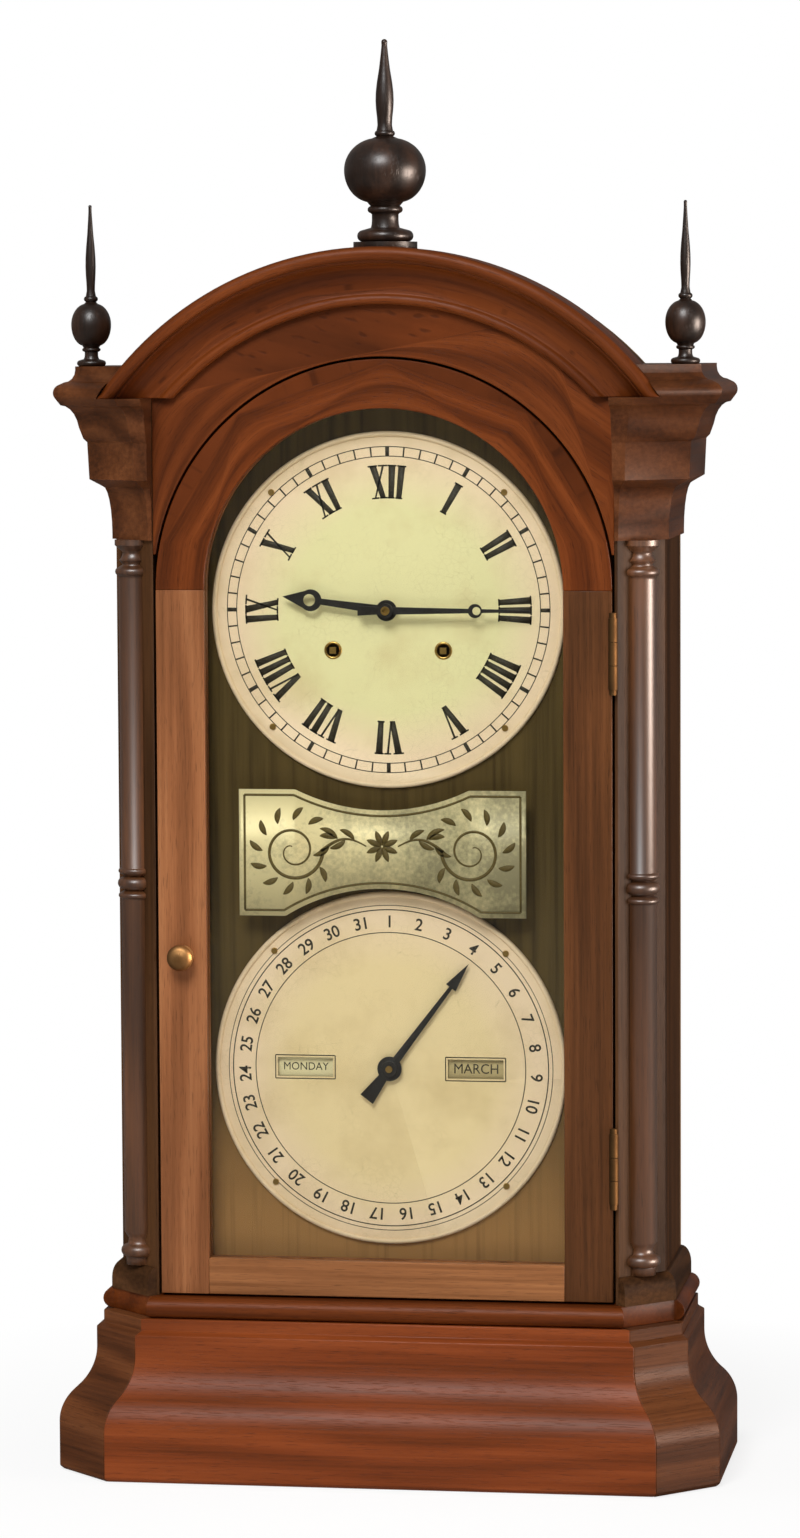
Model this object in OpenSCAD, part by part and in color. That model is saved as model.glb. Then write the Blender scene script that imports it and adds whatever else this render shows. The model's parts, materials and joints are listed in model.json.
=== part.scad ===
// Calendar clock: a double-dial shelf clock in a walnut case with an arched, glazed door.
// Millimetres. +Z is up, the dials face -Y, and the origin is the middle of the base's underside.

/* [Case] */
// Width of the body across its sides
body_w = 314; // [306:1:324]
// Depth of the body from the door's face to the back
body_d = 112; // [106:1:124]
// How far each front corner is cut back for its column
corner_cut = 24.5; // [22:0.5:26]
// Flat strip of each post beside the door
post_flat = 1.5; // [1:0.5:4]
// Height of the arch's centre above the floor
arch_z = 505; // [495:1:520]
// Height of the body's shoulders above the arch's centre
shoulder_h = 108; // [104:1:112]
// Thickness of the side panels
side_t = 8; // [6:0.5:10]
// Thickness of the back board
back_t = 6; // [4:0.5:9]
// Thickness of the bent roof board
roof_t = 8; // [6:0.5:10]

/* [Base] */
// Spread of the base beyond the body on each moulded side
base_spread = 33; // [31:0.5:37]
// Height of the base mouldings under the deck
base_h = 90; // [86:1:96]
// Thickness of the deck board
deck_t = 12; // [10:0.5:15]
// Spread of the deck's rounded edge beyond the body
deck_spread = 11; // [10:0.5:13]
// Thickness of the board under the base
base_board_t = 14; // [10:0.5:18]
// Height of the moulding round the body's foot
foot_h = 16; // [12:0.5:20]
// Spread of the moulding round the body's foot
foot_spread = 6; // [4:0.5:8]

/* [Crown] */
// Width of the frieze between the door and the crown moulding
frieze_w = 29; // [26:0.5:30]
// Width of the crown moulding, measured outwards
crown_w = 32; // [30:0.5:34]
// Projection of the crown moulding in front of the frieze
crown_out = 22; // [18:0.5:26]
// Lip of the crown moulding above the roof board
crown_lip = 6; // [4:0.5:8]
// Spread of the capitals beyond the body
cap_spread = 33; // [28:0.5:33]
// Height of the capitals below the shoulders
cap_drop = 80; // [74:1:86]
// Height of the capitals' slab above the shoulders
cap_rise = 18; // [16:0.5:20]

/* [Columns and finials] */
// Diameter of the column shafts
column_d = 17; // [14:0.5:20]
// Largest diameter of the column rings
ring_d = 21; // [20:0.5:23]
// Height of the middle finial
finial_h = 113; // [104:1:118]
// Diameter of the middle finial's urn
urn_d = 46; // [40:1:50]
// Height of that urn
urn_tall = 36; // [32:1:38]
// Height of that urn's middle over the finial's foot
urn_at = 40; // [37:0.5:43]
// Largest diameter of the middle finial's spire
spire_d = 10.2; // [8:0.2:12]
// Height of the side finials
side_finial_h = 91; // [84:1:98]
// Diameter of the side finials' urns
side_urn_d = 22.6; // [20:0.2:25]
// Height of the side urns
side_urn_tall = 24; // [20:1:26]
// Height of their middles over the side finials' feet
side_urn_at = 23.5; // [22:0.5:26]
// Largest diameter of the side finials' spires
side_spire_d = 5.8; // [5:0.2:7]
// Distance of the side finials outside the body's sides
side_finial_out = 12; // [10:0.5:14]
// Distance of the finials behind the door's face
finial_back = 18; // [16:1:22]
// Diameter of the block under the middle finial
plinth_d = 36; // [32:1:40]
// Height of that block above the crown's top
plinth_rise = 3; // [2:0.5:5]

/* [Door] */
// Gap between the door and the case at the sides
door_gap = 1.4; // [1.3:0.1:1.8]
// Gap under the door
sill_gap = 1.4; // [1:0.1:3]
// Thickness of the door
door_t = 20; // [19:0.5:21]
// Width of the stiles and the arch rail
stile_w = 27.6; // [26:0.2:29]
// Height of the bottom rail
rail_h = 20.6; // [18:0.2:24]
// Thickness of the lip in front of the glass
lip_t = 5; // [4:0.5:6]
// Width of the rebate that holds the glass
rebate_w = 6; // [5:0.5:7]
// Thickness of the glass
glass_t = 2; // [1.5:0.1:2.4]
// Depth of the beads behind the glass
bead_t = 5; // [3:0.5:6]
// Height of the hinges
hinge_h = 40; // [30:1:50]
// Diameter of the hinge knuckles
knuckle_d = 5.2; // [4.6:0.1:5.4]
// Diameter of the hinge pins
hinge_pin_d = 2.4; // [2:0.1:2.8]
// Height of the lower hinge's middle
hinge_low_z = 180; // [160:1:200]
// Height of the upper hinge's middle
hinge_high_z = 470; // [450:1:475]
// Height of the door knob
knob_z = 297; // [280:1:320]
// Diameter of the door knob
knob_d = 15; // [12:0.5:18]
// Projection of the door knob
knob_out = 13; // [10:0.5:16]
// Length of the latch tongue from the knob's axis
latch_l = 19; // [18:0.5:21]

/* [Dials] */
// Radius of the dials without their rims
dial_r = 98; // [94:0.5:99]
// Width of the rolled dial rims
rim_w = 3; // [2:0.5:3.5]
// Thickness of the dial plates
dial_t = 1.2; // [1:0.1:1.6]
// Drop of the time dial's centre below the arch's centre
time_drop = 12; // [10:1:16]
// Height of the calendar dial's centre
cal_z = 232; // [228:1:236]
// Distance from the door's face to the dial board
board_back = 21.7; // [21.5:0.1:23.5]
// Thickness of the dial board
board_t = 6; // [5:0.5:8]
// Length of the minute hand
minute_l = 82; // [70:1:88]
// Length of the hour hand
hour_l = 56; // [48:1:62]
// Length of the date hand
date_l = 76; // [66:1:82]
// Angle of the minute hand at rest, clockwise from twelve
minute_at = 90; // [0:1:359]
// Angle of the hour hand at rest, clockwise from twelve
hour_at = 277.5; // [0:0.5:359.5]
// Angle of the date hand at rest, clockwise from the top
date_at = 37; // [0:1:359]
// Distance of the windows from the calendar dial's centre
window_x = 49; // [47:0.5:51]
// Width of the windows
window_w = 32; // [28:1:33]
// Height of the windows
window_h = 11; // [9:0.5:12]

/* [Movement] */
// Distance from the door's face to the front plate
plate_back = 43.5; // [43:0.5:45]
// Thickness of the movement plates
plate_t = 2; // [1.5:0.1:2.4]
// Space between the movement plates
plate_gap = 32; // [32:0.5:34]
// Half the width of the movement plates
plate_half_w = 70; // [68:1:74]
// Reach of the movement plates below the time dial's centre
plate_drop = 63; // [61:1:66]
// Reach of the movement plates above the time dial's centre
plate_rise = 75; // [74:1:78]
// Diameter of the wheel arbors
arbor_d = 3; // [2.6:0.1:3.2]
// Diameter of the winding arbors
winding_d = 6; // [5:0.2:6.4]
// Diameter of the mainsprings
spring_d = 58; // [50:1:60]
// Length of the pendulum from its pivot to the bob's middle
pendulum_l = 296; // [288:1:300]
// Diameter of the pendulum bob
bob_d = 64; // [56:1:68]
// Thickness of the pendulum bob
bob_t = 14; // [10:0.5:16]
// Radius of the coil gong
gong_r = 40; // [34:1:42]

/* [Calendar work] */
// Radius of the day roller's edges
day_r = 13; // [12:0.2:14]
// Radius of the month roller's edges
month_r = 20; // [18:0.5:21]
// Length of the rollers
roller_l = 34; // [34:0.5:35]
// Radius of the date wheel
date_wheel_r = 26; // [22:0.5:27]
// Distance from the dial board to the calendar plate
cal_depth = 38; // [37:0.5:40]

/* [Hidden] */
$fn = 96;

// Clearances
seat = 0.1;          // between pieces that are seated on each other along a curve
fit = 0.06;          // radial, of an arbor or pin in its hole
run_gap = 0.3;       // between faces that slide past each other
far = 400;           // longer than any cut needs

// Case
half_w = body_w / 2;
y_back = (body_d + base_spread) / 2;
y_front = y_back - body_d;
post_in = half_w - corner_cut - post_flat;
deck_z = base_h + deck_t;
shoulder_z = arch_z + shoulder_h;
cap_low_z = shoulder_z - cap_drop;
cap_top_z = shoulder_z + cap_rise;
side_finial_x = half_w + side_finial_out;
crown_in_r = post_in + frieze_w;
crown_r = crown_in_r + crown_w;
roof_r = crown_r - crown_lip;
post_d = 30;
fascia_foot_h = 20;
mitre = 22.5;
wall_in = 8;
y_board = y_front + board_back;
y_board_back = y_board + board_t;
y_inner_back = y_back - back_t;

// Door
door_half = post_in - door_gap;
door_z = deck_z + sill_gap;
open_half = door_half - stile_w;
open_z = door_z + rail_h;
y_door_back = y_front + door_t;
y_glass = y_front + lip_t;
hinge_x = post_in - door_gap / 2;
hinge_y = y_front - knuckle_d / 2 - 0.4;
leaf_t = (door_gap - 0.2) / 2;
leaf_d = 15;
knob_x = -(door_half - stile_w / 2);
knob_shaft_d = 5;
latch_t = 2.6;
pocket_d = 4;

// Dials and hands
time_z = arch_z - time_drop;
y_dial = y_board - dial_t;
rim_out = 3;
y_hour = y_dial - 5.5;
y_minute = y_hour - 2.8;
hand_t = 1;
cannon_r = arbor_d / 2 + fit + 0.95;
pipe_r = cannon_r + fit + 1.2;

// Movement
y_plate = y_front + plate_back;
y_plate_in = y_plate + plate_t;
y_plate_far = y_plate_in + plate_gap;
y_plate_back = y_plate_far + plate_t;
plate_low = time_z - plate_drop;
plate_high = time_z + plate_rise;
pillar_x = plate_half_w - 6;
pillar_low = plate_low + 6;
pillar_high = plate_high - 6;
pillar_r = 4;

// Teeth: counts and modules
main_n = 96;
main_m = 0.75;
centre_n = 80;
centre_m = 0.6;
third_n = 60;
third_m = 0.55;
leaf_n = 8;
escape_n = 44;
escape_r = 14;
strike_n = 72;
strike_m = 0.6;
motion_n = 36;
cannon_n = 12;
motion_m = 0.6;
hour_n = 40;
hour_leaf_n = 10;
hour_m = motion_m * (motion_n + cannon_n) / (hour_n + hour_leaf_n);
wheel_t = 1.6;

// Places of the arbors as [x, z]
function polar(c, r, a) = [c[0] + r * cos(a), c[1] + r * sin(a)];
centre_at = [0, time_z];
main_angle = -36;
main_at = polar(centre_at, main_m * (main_n + leaf_n) / 2, main_angle);
strike_at = [-main_at[0], main_at[1]];
escape_rise = 40;
third_reach = centre_m * (centre_n + leaf_n) / 2;
escape_reach = third_m * (third_n + leaf_n) / 2;
third_up = (third_reach * third_reach - escape_reach * escape_reach + escape_rise * escape_rise)
    / (2 * escape_rise);
third_angle = asin(third_up / third_reach);
third_at = polar(centre_at, third_reach, third_angle);
escape_at = [0, time_z + escape_rise];
escape_angle = atan2(escape_at[1] - third_at[1], escape_at[0] - third_at[0]);
verge_rise = 19;
pivot_z = escape_at[1] + verge_rise;
minute_wheel_at = [motion_m * (motion_n + cannon_n) / 2, time_z];
strike_angle = 120;
second_at = polar(strike_at, main_m * (main_n + leaf_n) / 2, strike_angle);
fly_angle = 60;
fly_at = polar(second_at, strike_m * (strike_n + leaf_n) / 2, fly_angle);
hammer_angle = -123;
hammer_clear = 1.5;
hammer_at = polar(strike_at, main_m * main_n / 2 + 0.85 * main_m + arbor_d / 2 + hammer_clear, hammer_angle);

// Depths of the wheels behind the front plate's inner face
y_main = y_plate_in + 3;
y_spring = y_main + wheel_t + 2;
spring_w = 14;
y_third = y_plate_in + 16;
y_escape = y_plate_in + 22;
y_strike = y_plate_in + 24.5;
y_centre = y_plate_in + 28.4;

// Pendulum, gong and hammer
y_pendulum = y_plate_back + 12;
rod_r = 1.5;
bob_z = pivot_z - pendulum_l;
gong_at = [-85, bob_z + 74];
gong_strip = 2;
hammer_r = 5;
strike_from = 60;
head_at = polar(gong_at, gong_r + hammer_r + 1, strike_from);

// Calendar work
y_cal_plate = y_board_back + cal_depth;
y_day = y_board + 0.8 + day_r;
y_month = y_board + 0.8 + month_r;
roller_arbor_r = 1.5;
lug_t = 1.5;
cal_half_w = window_x + roller_l / 2 + 14;
cal_half_h = month_r + 14;
slot_w = roller_l + 4;
slot_h = 32;

// Points along an arc
function arc(c, r, a0, a1, n = 10) =
    [for (i = [0:n]) let (a = a0 + (a1 - a0) * i / n) [c[0] + r * cos(a), c[1] + r * sin(a)]];

// Plan of the canted case, spread outwards by o
function plan(o) = let (k = o * tan(mitre)) [
    [half_w + o, y_back], [half_w + o, y_front + corner_cut - k], [half_w - corner_cut + k, y_front - o],
    [-(half_w - corner_cut + k), y_front - o], [-(half_w + o), y_front + corner_cut - k],
    [-(half_w + o), y_back]];

// Corners of the moulded path on the right-hand side, from the back to the front
side_back = [half_w, y_back];
side_front = [half_w, y_front + corner_cut];
cant_front = [half_w - corner_cut, y_front];
stub_end = [post_in + 0.2, y_front];
// Short lap that joins two runs of one moulding into one piece
cant_lap = seat * (side_front - cant_front) / norm(side_front - cant_front);

// Shape of a door or glass with a round top
module arch_shape(half, low) {
    translate([-half, low]) square([2 * half, arch_z - low]);
    intersection() {
        translate([0, arch_z]) circle(half);
        translate([-half, arch_z]) square([2 * half, half]);
    }
}

// A flat shape drawn in X and Z, standing from y0 back to y1
module standing(y0, y1) {
    translate([0, y1, 0]) rotate([90, 0, 0]) linear_extrude(y1 - y0) children();
}

// A round bar along Y
module bar_y(at, r, y0, y1) {
    translate([at[0], y1, at[1]]) rotate([90, 0, 0]) cylinder(r = r, h = y1 - y0);
}

// A moulding of the given outline from p to q, its ends mitred by e0 and e1 degrees
module moulding(p, q, e0, e1, inside = 30, reach = 60) {
    d = q - p;
    l = norm(d);
    translate([p[0], p[1], 0]) rotate([0, 0, atan2(d[1], d[0])]) intersection() {
        translate([-reach, 0, 0]) rotate([90, 0, 90]) linear_extrude(l + 2 * reach) children();
        translate([0, 0, -1]) linear_extrude(2 * far) polygon([
            [inside * tan(e0), -inside], [-reach * tan(e0), reach],
            [l + reach * tan(e1), reach], [l - inside * tan(e1), -inside]]);
    }
}

// The same moulding on the left and right of the case
module both_sides() {
    children();
    mirror([1, 0, 0]) children();
}

// A gear in X and Z whose first tooth points at the given angle
module gear(n, m, phase, wide, high, low, tip, root) {
    pitch = 360 / n;
    r = n * m / 2;
    rotate(phase) polygon([for (i = [0:n - 1], s = [[r - low * m, -root], [r, -wide], [r + high * m, -tip],
        [r + high * m, tip], [r, wide], [r - low * m, root]])
        let (a = (i + s[1] / 2) * pitch) [s[0] * cos(a), s[0] * sin(a)]]);
}

module wheel_teeth(n, m, phase) {
    gear(n, m, phase, 0.42, 0.85, 1.25, 0.18, 0.56);
}

module pinion_teeth(n, m, phase) {
    gear(n, m, phase, 0.36, 0.7, 1.25, 0.16, 0.40);
}

// A crossed-out clock wheel with four arms, and its arbor's hub
module crossed_wheel(at, n, m, phase, y0) {
    rim_r = n * m / 2 - 1.25 * m - 1.6;
    hub_r = 3.4;
    translate([at[0], 0, at[1]]) standing(y0, y0 + wheel_t) difference() {
        wheel_teeth(n, m, phase);
        difference() {
            circle(rim_r);
            circle(hub_r);
            for (a = [0, 90]) rotate(a + 20) square([2 * rim_r, 2.4], center = true);
        }
    }
}

module pinion(at, n, m, phase, y0, l) {
    translate([at[0], 0, at[1]]) standing(y0, y0 + l) pinion_teeth(n, m, phase);
}

// The phase of a gear whose gap faces the gear that lies in direction a
function gap_to(a, n) = a + 180 / n;

module base_front_outline() {
    low_r = 24;
    top_r = 30;
    turn = 50;
    c1 = [base_spread - low_r, 28];
    c2 = c1 + (low_r + top_r) * [cos(turn), sin(turn)];
    polygon(concat(
        [[-wall_in, 0], [base_spread - 2, 0], [base_spread, 2]],
        arc(c1, low_r, 0, turn, 10),
        arc(c2, top_r, 180 + turn, 180, 10),
        [[c2[0] - top_r, base_h - 9], [deck_spread - 1, base_h - 7], [deck_spread - 1, base_h],
            [-wall_in, base_h]]));
}

module base_board() {
    color([0.30, 0.17, 0.10]) linear_extrude(base_board_t) polygon(plan(-wall_in - seat));
}

module base_front_moulding() {
    color([0.45, 0.20, 0.11])
        moulding(cant_front, [-cant_front[0], y_front], mitre, mitre) base_front_outline();
}

module base_return_mouldings() {
    color([0.40, 0.18, 0.10]) both_sides() {
        moulding(side_back, side_front, 0, mitre) base_front_outline();
        moulding(side_front + cant_lap, cant_front, mitre, mitre) base_front_outline();
    }
}

module base_back_rail() {
    w = half_w - wall_in - seat;
    color([0.30, 0.17, 0.10]) translate([-w, y_back - 12, base_board_t])
        cube([2 * w, 12, base_h - base_board_t]);
}

module deck_board() {
    nose = deck_t / 2;
    color([0.42, 0.19, 0.10]) translate([0, 0, base_h]) {
        linear_extrude(deck_t) polygon(plan(deck_spread - nose));
        for (s = [[side_back, side_front, 0, mitre], [side_front, cant_front, mitre, mitre]])
            both_sides() moulding(s[0], s[1], s[2], s[3]) deck_nose(nose);
        moulding(cant_front, [-cant_front[0], y_front], mitre, mitre) deck_nose(nose);
    }
}

module deck_nose(nose) {
    polygon(concat([[deck_spread - nose - 1, 0]], arc([deck_spread - nose, nose], nose, -90, 90, 10),
        [[deck_spread - nose - 1, deck_t]]));
}

module foot_mouldings() {
    r = foot_h - 6;
    color([0.40, 0.19, 0.10]) both_sides()
        for (s = [[side_back, side_front, 0, mitre], [side_front + cant_lap, cant_front, mitre, 0]])
            translate([0, 0, deck_z]) moulding(s[0], s[1], s[2], s[3])
                polygon(concat([[0, 0], [foot_spread, 0], [foot_spread, 6]],
                    [for (i = [1:6]) let (a = 15 * i)
                        [foot_spread - foot_spread * (1 - cos(a)), 6 + r * sin(a)]],
                    [[0, foot_h]]));
}

module side_panels() {
    color([0.36, 0.19, 0.11]) both_sides() translate([half_w - side_t, y_front + post_d, deck_z])
        cube([side_t, y_inner_back - y_front - post_d, shoulder_z - deck_z]);
}

module corner_posts() {
    mortise = [7, pocket_d + 1.5, 20];
    color([0.40, 0.20, 0.11]) both_sides() difference() {
        translate([0, 0, deck_z]) linear_extrude(shoulder_z - deck_z) polygon([[post_in, y_front],
            cant_front, side_front, [half_w, y_front + post_d], [post_in, y_front + post_d]]);
        translate([post_in - 1, y_door_back - mortise[1] + 0.5, knob_z - 5])
            cube([mortise[0] + 1, mortise[1], mortise[2]]);
    }
}

// A half-turned column: rings at the foot, the middle and the head
module columns() {
    r = column_d / 2;
    ring = ring_d / 2;
    low = deck_z + foot_h;
    high = cap_low_z;
    mid = (low + high) / 2 + 12;
    at = (side_front + cant_front) / 2;
    color([0.48, 0.25, 0.15]) both_sides() translate([at[0], at[1], 0]) rotate([0, 0, -135])
        rotate_extrude(angle = 180) polygon(concat(
            [[0, low], [r - 1, low], [r - 1, low + 5]],
            arc([r - 1.5, low + 8], ring - r + 1.5, -80, 80, 8),
            [[r - 2, low + 12], [r - 2.5, low + 15], [r, low + 19]],
            [[r, mid - 9]],
            arc([r, mid - 7], 1.6, -80, 80, 6),
            [[r - 2, mid - 4]],
            arc([r - 1.5, mid], ring - r + 1.5, -80, 80, 8),
            [[r - 2, mid + 4]],
            arc([r, mid + 7], 1.6, -80, 80, 6),
            [[r, mid + 9], [r, high - 22]],
            arc([r - 0.5, high - 18], 2.4, -80, 80, 6),
            [[r - 2.5, high - 14]],
            arc([r - 2.5 + 6, high - 7], 6, 230, 180, 5),
            [[ring, high - 3], [ring, high], [0, high]]));
}

module arch_fascia() {
    color([0.36, 0.16, 0.09]) standing(y_front, y_board) difference() {
        union() {
            translate([-post_in + seat, arch_z + fascia_foot_h])
                square([2 * post_in - 2 * seat, shoulder_h - fascia_foot_h]);
            intersection() {
                translate([0, arch_z]) circle(roof_r - crown_lip);
                translate([-far, shoulder_z]) square([2 * far, far]);
            }
        }
        translate([0, arch_z]) circle(post_in);
    }
}

// The part of a ring round the arch's centre that stands above the shoulders
module arch_ring(r_in, r_out, y0, y1) {
    standing(y0, y1) intersection() {
        translate([0, arch_z]) difference() {
            circle(r_out);
            circle(r_in);
        }
        translate([-far, shoulder_z]) square([2 * far, far]);
    }
}

module roof_board() {
    color([0.33, 0.15, 0.09]) arch_ring(roof_r - roof_t, roof_r, y_board, y_inner_back);
}

// Bead, cove, corona and cap, turned round the arch's centre
module crown_moulding() {
    bead_r = 3;
    cove_r = 11;
    top = roof_r - crown_lip + seat;
    cap_w = 9;
    back = board_back;
    color([0.37, 0.16, 0.09]) intersection() {
        translate([0, y_front, arch_z]) rotate([90, 0, 0]) rotate_extrude() polygon(concat(
            [[crown_in_r, 0]],
            arc([crown_in_r + bead_r, bead_r], bead_r, 180, 20, 8),
            arc([crown_r - cap_w - cove_r, bead_r + cove_r + 1], cove_r, 270, 360, 8),
            [[crown_r - cap_w, crown_out - 5], [crown_r - cap_w + 3, crown_out - 5]],
            arc([crown_r - 4, crown_out - 4], 4, 165, 0, 8),
            [[crown_r, -back], [top, -back], [top, 0]]));
        translate([-far, -far, shoulder_z]) cube([2 * far, 2 * far, far]);
    }
}

// Outline of the capitals; its slab runs on inwards by slab_in over the shoulders
module capital_outline(slab_in) {
    low_cove = 30;
    z1 = cap_low_z + 34;
    z2 = cap_low_z + 57;
    slab = cap_top_z - 20;
    ledge = 14;
    shelf = 19;
    polygon(concat(
        [[0, cap_low_z], [2, cap_low_z], [2, cap_low_z + 3]],
        [for (i = [1:6]) let (a = 15 * i) [2 + 5 * (1 - cos(a)), cap_low_z + 3 + (low_cove - 3) * sin(a)]],
        [[ledge, z1], [ledge + 1, z2 - 2], [ledge + 3, z2]],
        [for (i = [1:6]) let (a = 15 * i)
            [shelf + (cap_spread - shelf - 4) * (1 - cos(a)), z2 + 2 + (slab - z2 - 4) * sin(a)]],
        arc([cap_spread - 5, slab + 5], 5, -40, 60, 8),
        [[cap_spread - 6, slab + 11]],
        [for (i = [1:4]) let (a = 22.5 * i) [cap_spread - 6 - 6 * sin(a), slab + 11 + 7 * (1 - cos(a))]],
        [[cap_spread - 12, cap_top_z], [-slab_in, cap_top_z], [-slab_in, shoulder_z], [0, shoulder_z]]));
}

// The capital of the right-hand side, cut away where the roof and the crown moulding pass
module capital() {
    slab_in = 24;
    difference() {
        union() {
            moulding(side_back, side_front, 0, mitre) capital_outline(slab_in);
            moulding(side_front + cant_lap, cant_front, mitre, mitre) capital_outline(slab_in);
            moulding(cant_front + [seat, 0], stub_end, mitre, 0, inside = 1) capital_outline(0);
        }
        arch_ring(10, roof_r + seat, y_front - seat, y_back + 1);
        arch_ring(10, crown_r + seat, y_front - far, y_board);
    }
}

module capital_left() {
    color([0.30, 0.14, 0.08]) mirror([1, 0, 0]) capital();
}

module capital_right() {
    color([0.30, 0.14, 0.08]) capital();
}

module back_board() {
    color([0.31, 0.19, 0.12]) {
        translate([-half_w, y_inner_back, deck_z]) cube([2 * half_w, back_t, shoulder_z - deck_z]);
        arch_ring(0.001, roof_r, y_inner_back, y_back);
    }
}

module finial_plinth() {
    top = arch_z + crown_r + plinth_rise;
    block_h = plinth_rise + crown_lip + 4;
    color([0.28, 0.13, 0.08]) difference() {
        translate([0, y_front + finial_back, top - block_h]) cylinder(d = plinth_d, h = block_h);
        bar_y([0, arch_z], roof_r + seat, y_board - 1, y_back, $fn = 360);
        bar_y([0, arch_z], crown_r + seat, y_front - far, y_board, $fn = 360);
    }
}

// A finial's spire: shares of its height over the urn, and of its largest radius
SPIRE = [[0.13, 0.8], [0.2, 0.84], [0.29, 0.95], [0.37, 1], [0.46, 0.97], [0.56, 0.85], [0.7, 0.6],
    [0.84, 0.42], [0.93, 0.32]];

// Turned outline of a finial: foot, neck, collar, urn, bead and a spire with a swelling
module turned_finial(h, urn, urn_mid, urn_h, foot, neck, spire) {
    r = urn / 2;
    low = urn_mid - urn_h / 2;
    high = urn_mid + urn_h / 2;
    over = h - high;
    throat = SPIRE[0][1] * spire;
    rotate_extrude() polygon(concat(
        [[0, 0], [foot, 0]],
        arc([foot - 0.5, 0.15 * low], 0.15 * low, -60, 70, 5),
        [[neck + 0.6, 0.36 * low], [neck, 0.55 * low], [neck, 0.7 * low]],
        arc([neck + 0.4, 0.82 * low], 0.09 * low, -80, 80, 5),
        [for (i = [0:8]) let (a = -80 + 80 * i / 8)
            [neck + (r - neck) * cos(a), urn_mid + urn_h / 2 * sin(a)]],
        [for (i = [1:8]) let (a = 80 * i / 8)
            [throat + (r - throat) * cos(a), urn_mid + urn_h / 2 * sin(a)]],
        arc([throat, high + 0.045 * over], 0.03 * over, -70, 70, 5),
        [for (p = SPIRE) [p[1] * spire, high + p[0] * over]],
        arc([0, h - 0.34 * spire], 0.34 * spire, -20, 90, 5)));
}

module finial_middle() {
    color([0.22, 0.13, 0.09]) translate([0, y_front + finial_back, arch_z + crown_r + plinth_rise])
        turned_finial(finial_h, urn_d, urn_at, urn_tall, 13, 7.5, spire_d / 2);
}

module side_finials() {
    color([0.22, 0.13, 0.09]) both_sides() translate([side_finial_x, y_front + finial_back, cap_top_z])
        turned_finial(side_finial_h, side_urn_d, side_urn_at, side_urn_tall, 7, 3.8, side_spire_d / 2);
}

// The board behind the dials, with holes for the arbors and slots for the rollers
module dial_board() {
    half = post_in - seat;
    color([0.45, 0.34, 0.21]) standing(y_board, y_board_back) difference() {
        union() {
            translate([-half, deck_z]) square([2 * half, arch_z - deck_z + 20]);
            intersection() {
                translate([0, arch_z]) circle(post_in + 9);
                translate([-half, arch_z]) square([2 * half, half + 20]);
            }
        }
        translate([0, time_z]) circle(pipe_r + 3);
        for (at = [main_at, strike_at]) translate(at) circle(winding_d / 2 + 2.5);
        translate([0, cal_z]) circle(4.5);
        for (x = [-window_x, window_x])
            translate([x - slot_w / 2, cal_z - slot_h / 2]) square([slot_w, slot_h]);
    }
}

// A dial plate with a rolled rim in front of it
module dial_plate(z) {
    translate([0, y_board, z]) rotate([90, 0, 0]) rotate_extrude() polygon(concat(
        [[0, 0], [dial_r + rim_w, 0]],
        [for (i = [0:8]) let (a = 22.5 * i)
            [dial_r + rim_w / 2 + rim_w / 2 * cos(a), dial_t + (rim_out - dial_t) * sin(a)]],
        [[dial_r, dial_t], [0, dial_t]]));
}

module time_dial() {
    color([0.88, 0.85, 0.68]) difference() {
        dial_plate(time_z);
        bar_y([0, time_z], pipe_r + 1.2, y_dial - 1, y_board + 1);
        for (at = [main_at, strike_at]) bar_y(at, winding_d / 2 + 1.2, y_dial - 1, y_board + 1);
    }
}

module calendar_dial() {
    color([0.88, 0.85, 0.68]) difference() {
        dial_plate(cal_z);
        bar_y([0, cal_z], 3.2, y_dial - 1, y_board + 1);
        for (x = [-window_x, window_x])
            translate([x - window_w / 2, y_dial - 1, cal_z - window_h / 2])
                cube([window_w, dial_t + 2, window_h]);
    }
}

module dial_screws() {
    color([0.70, 0.60, 0.35]) for (z = [time_z, cal_z], a = [45:90:315])
        bar_y(polar([0, z], dial_r - 4, a), 1.8, y_dial - 0.9, y_dial);
}

module movement_blocks() {
    w = 12;
    color([0.35, 0.22, 0.13]) both_sides()
        translate([plate_half_w - w, y_plate_back, plate_low + 4])
            cube([w, y_inner_back - y_plate_back, plate_high - plate_low - 8]);
}

module plate_holes(y0, y1) {
    for (at = [third_at, escape_at, [0, pivot_z], second_at, fly_at, hammer_at])
        bar_y(at, arbor_d / 2 + fit, y0 - 1, y1 + 1);
    for (at = [main_at, strike_at]) bar_y(at, winding_d / 2 + fit, y0 - 1, y1 + 1);
    bar_y(centre_at, arbor_d / 2 + fit, y0 - 1, y1 + 1);
}

module movement_plate(y0) {
    difference() {
        translate([-plate_half_w, y0, plate_low])
            cube([2 * plate_half_w, plate_t, plate_high - plate_low]);
        plate_holes(y0, y0 + plate_t);
    }
}

module movement_front_plate() {
    color([0.72, 0.58, 0.28]) {
        movement_plate(y_plate);
        bar_y(minute_wheel_at, 1.2, y_plate - 9, y_plate);
    }
}

module movement_back_plate() {
    color([0.72, 0.58, 0.28]) movement_plate(y_plate_far);
}

module movement_pillars() {
    color([0.68, 0.54, 0.26]) for (x = [-pillar_x, pillar_x], z = [pillar_low, pillar_high])
        bar_y([x, z], pillar_r, y_plate_in, y_plate_far);
}

module movement_screws() {
    color([0.45, 0.45, 0.47]) for (x = [-pillar_x, pillar_x], z = [pillar_low, pillar_high])
        bar_y([x, z], 3.4, y_plate - 2.2, y_plate);
}

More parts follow.
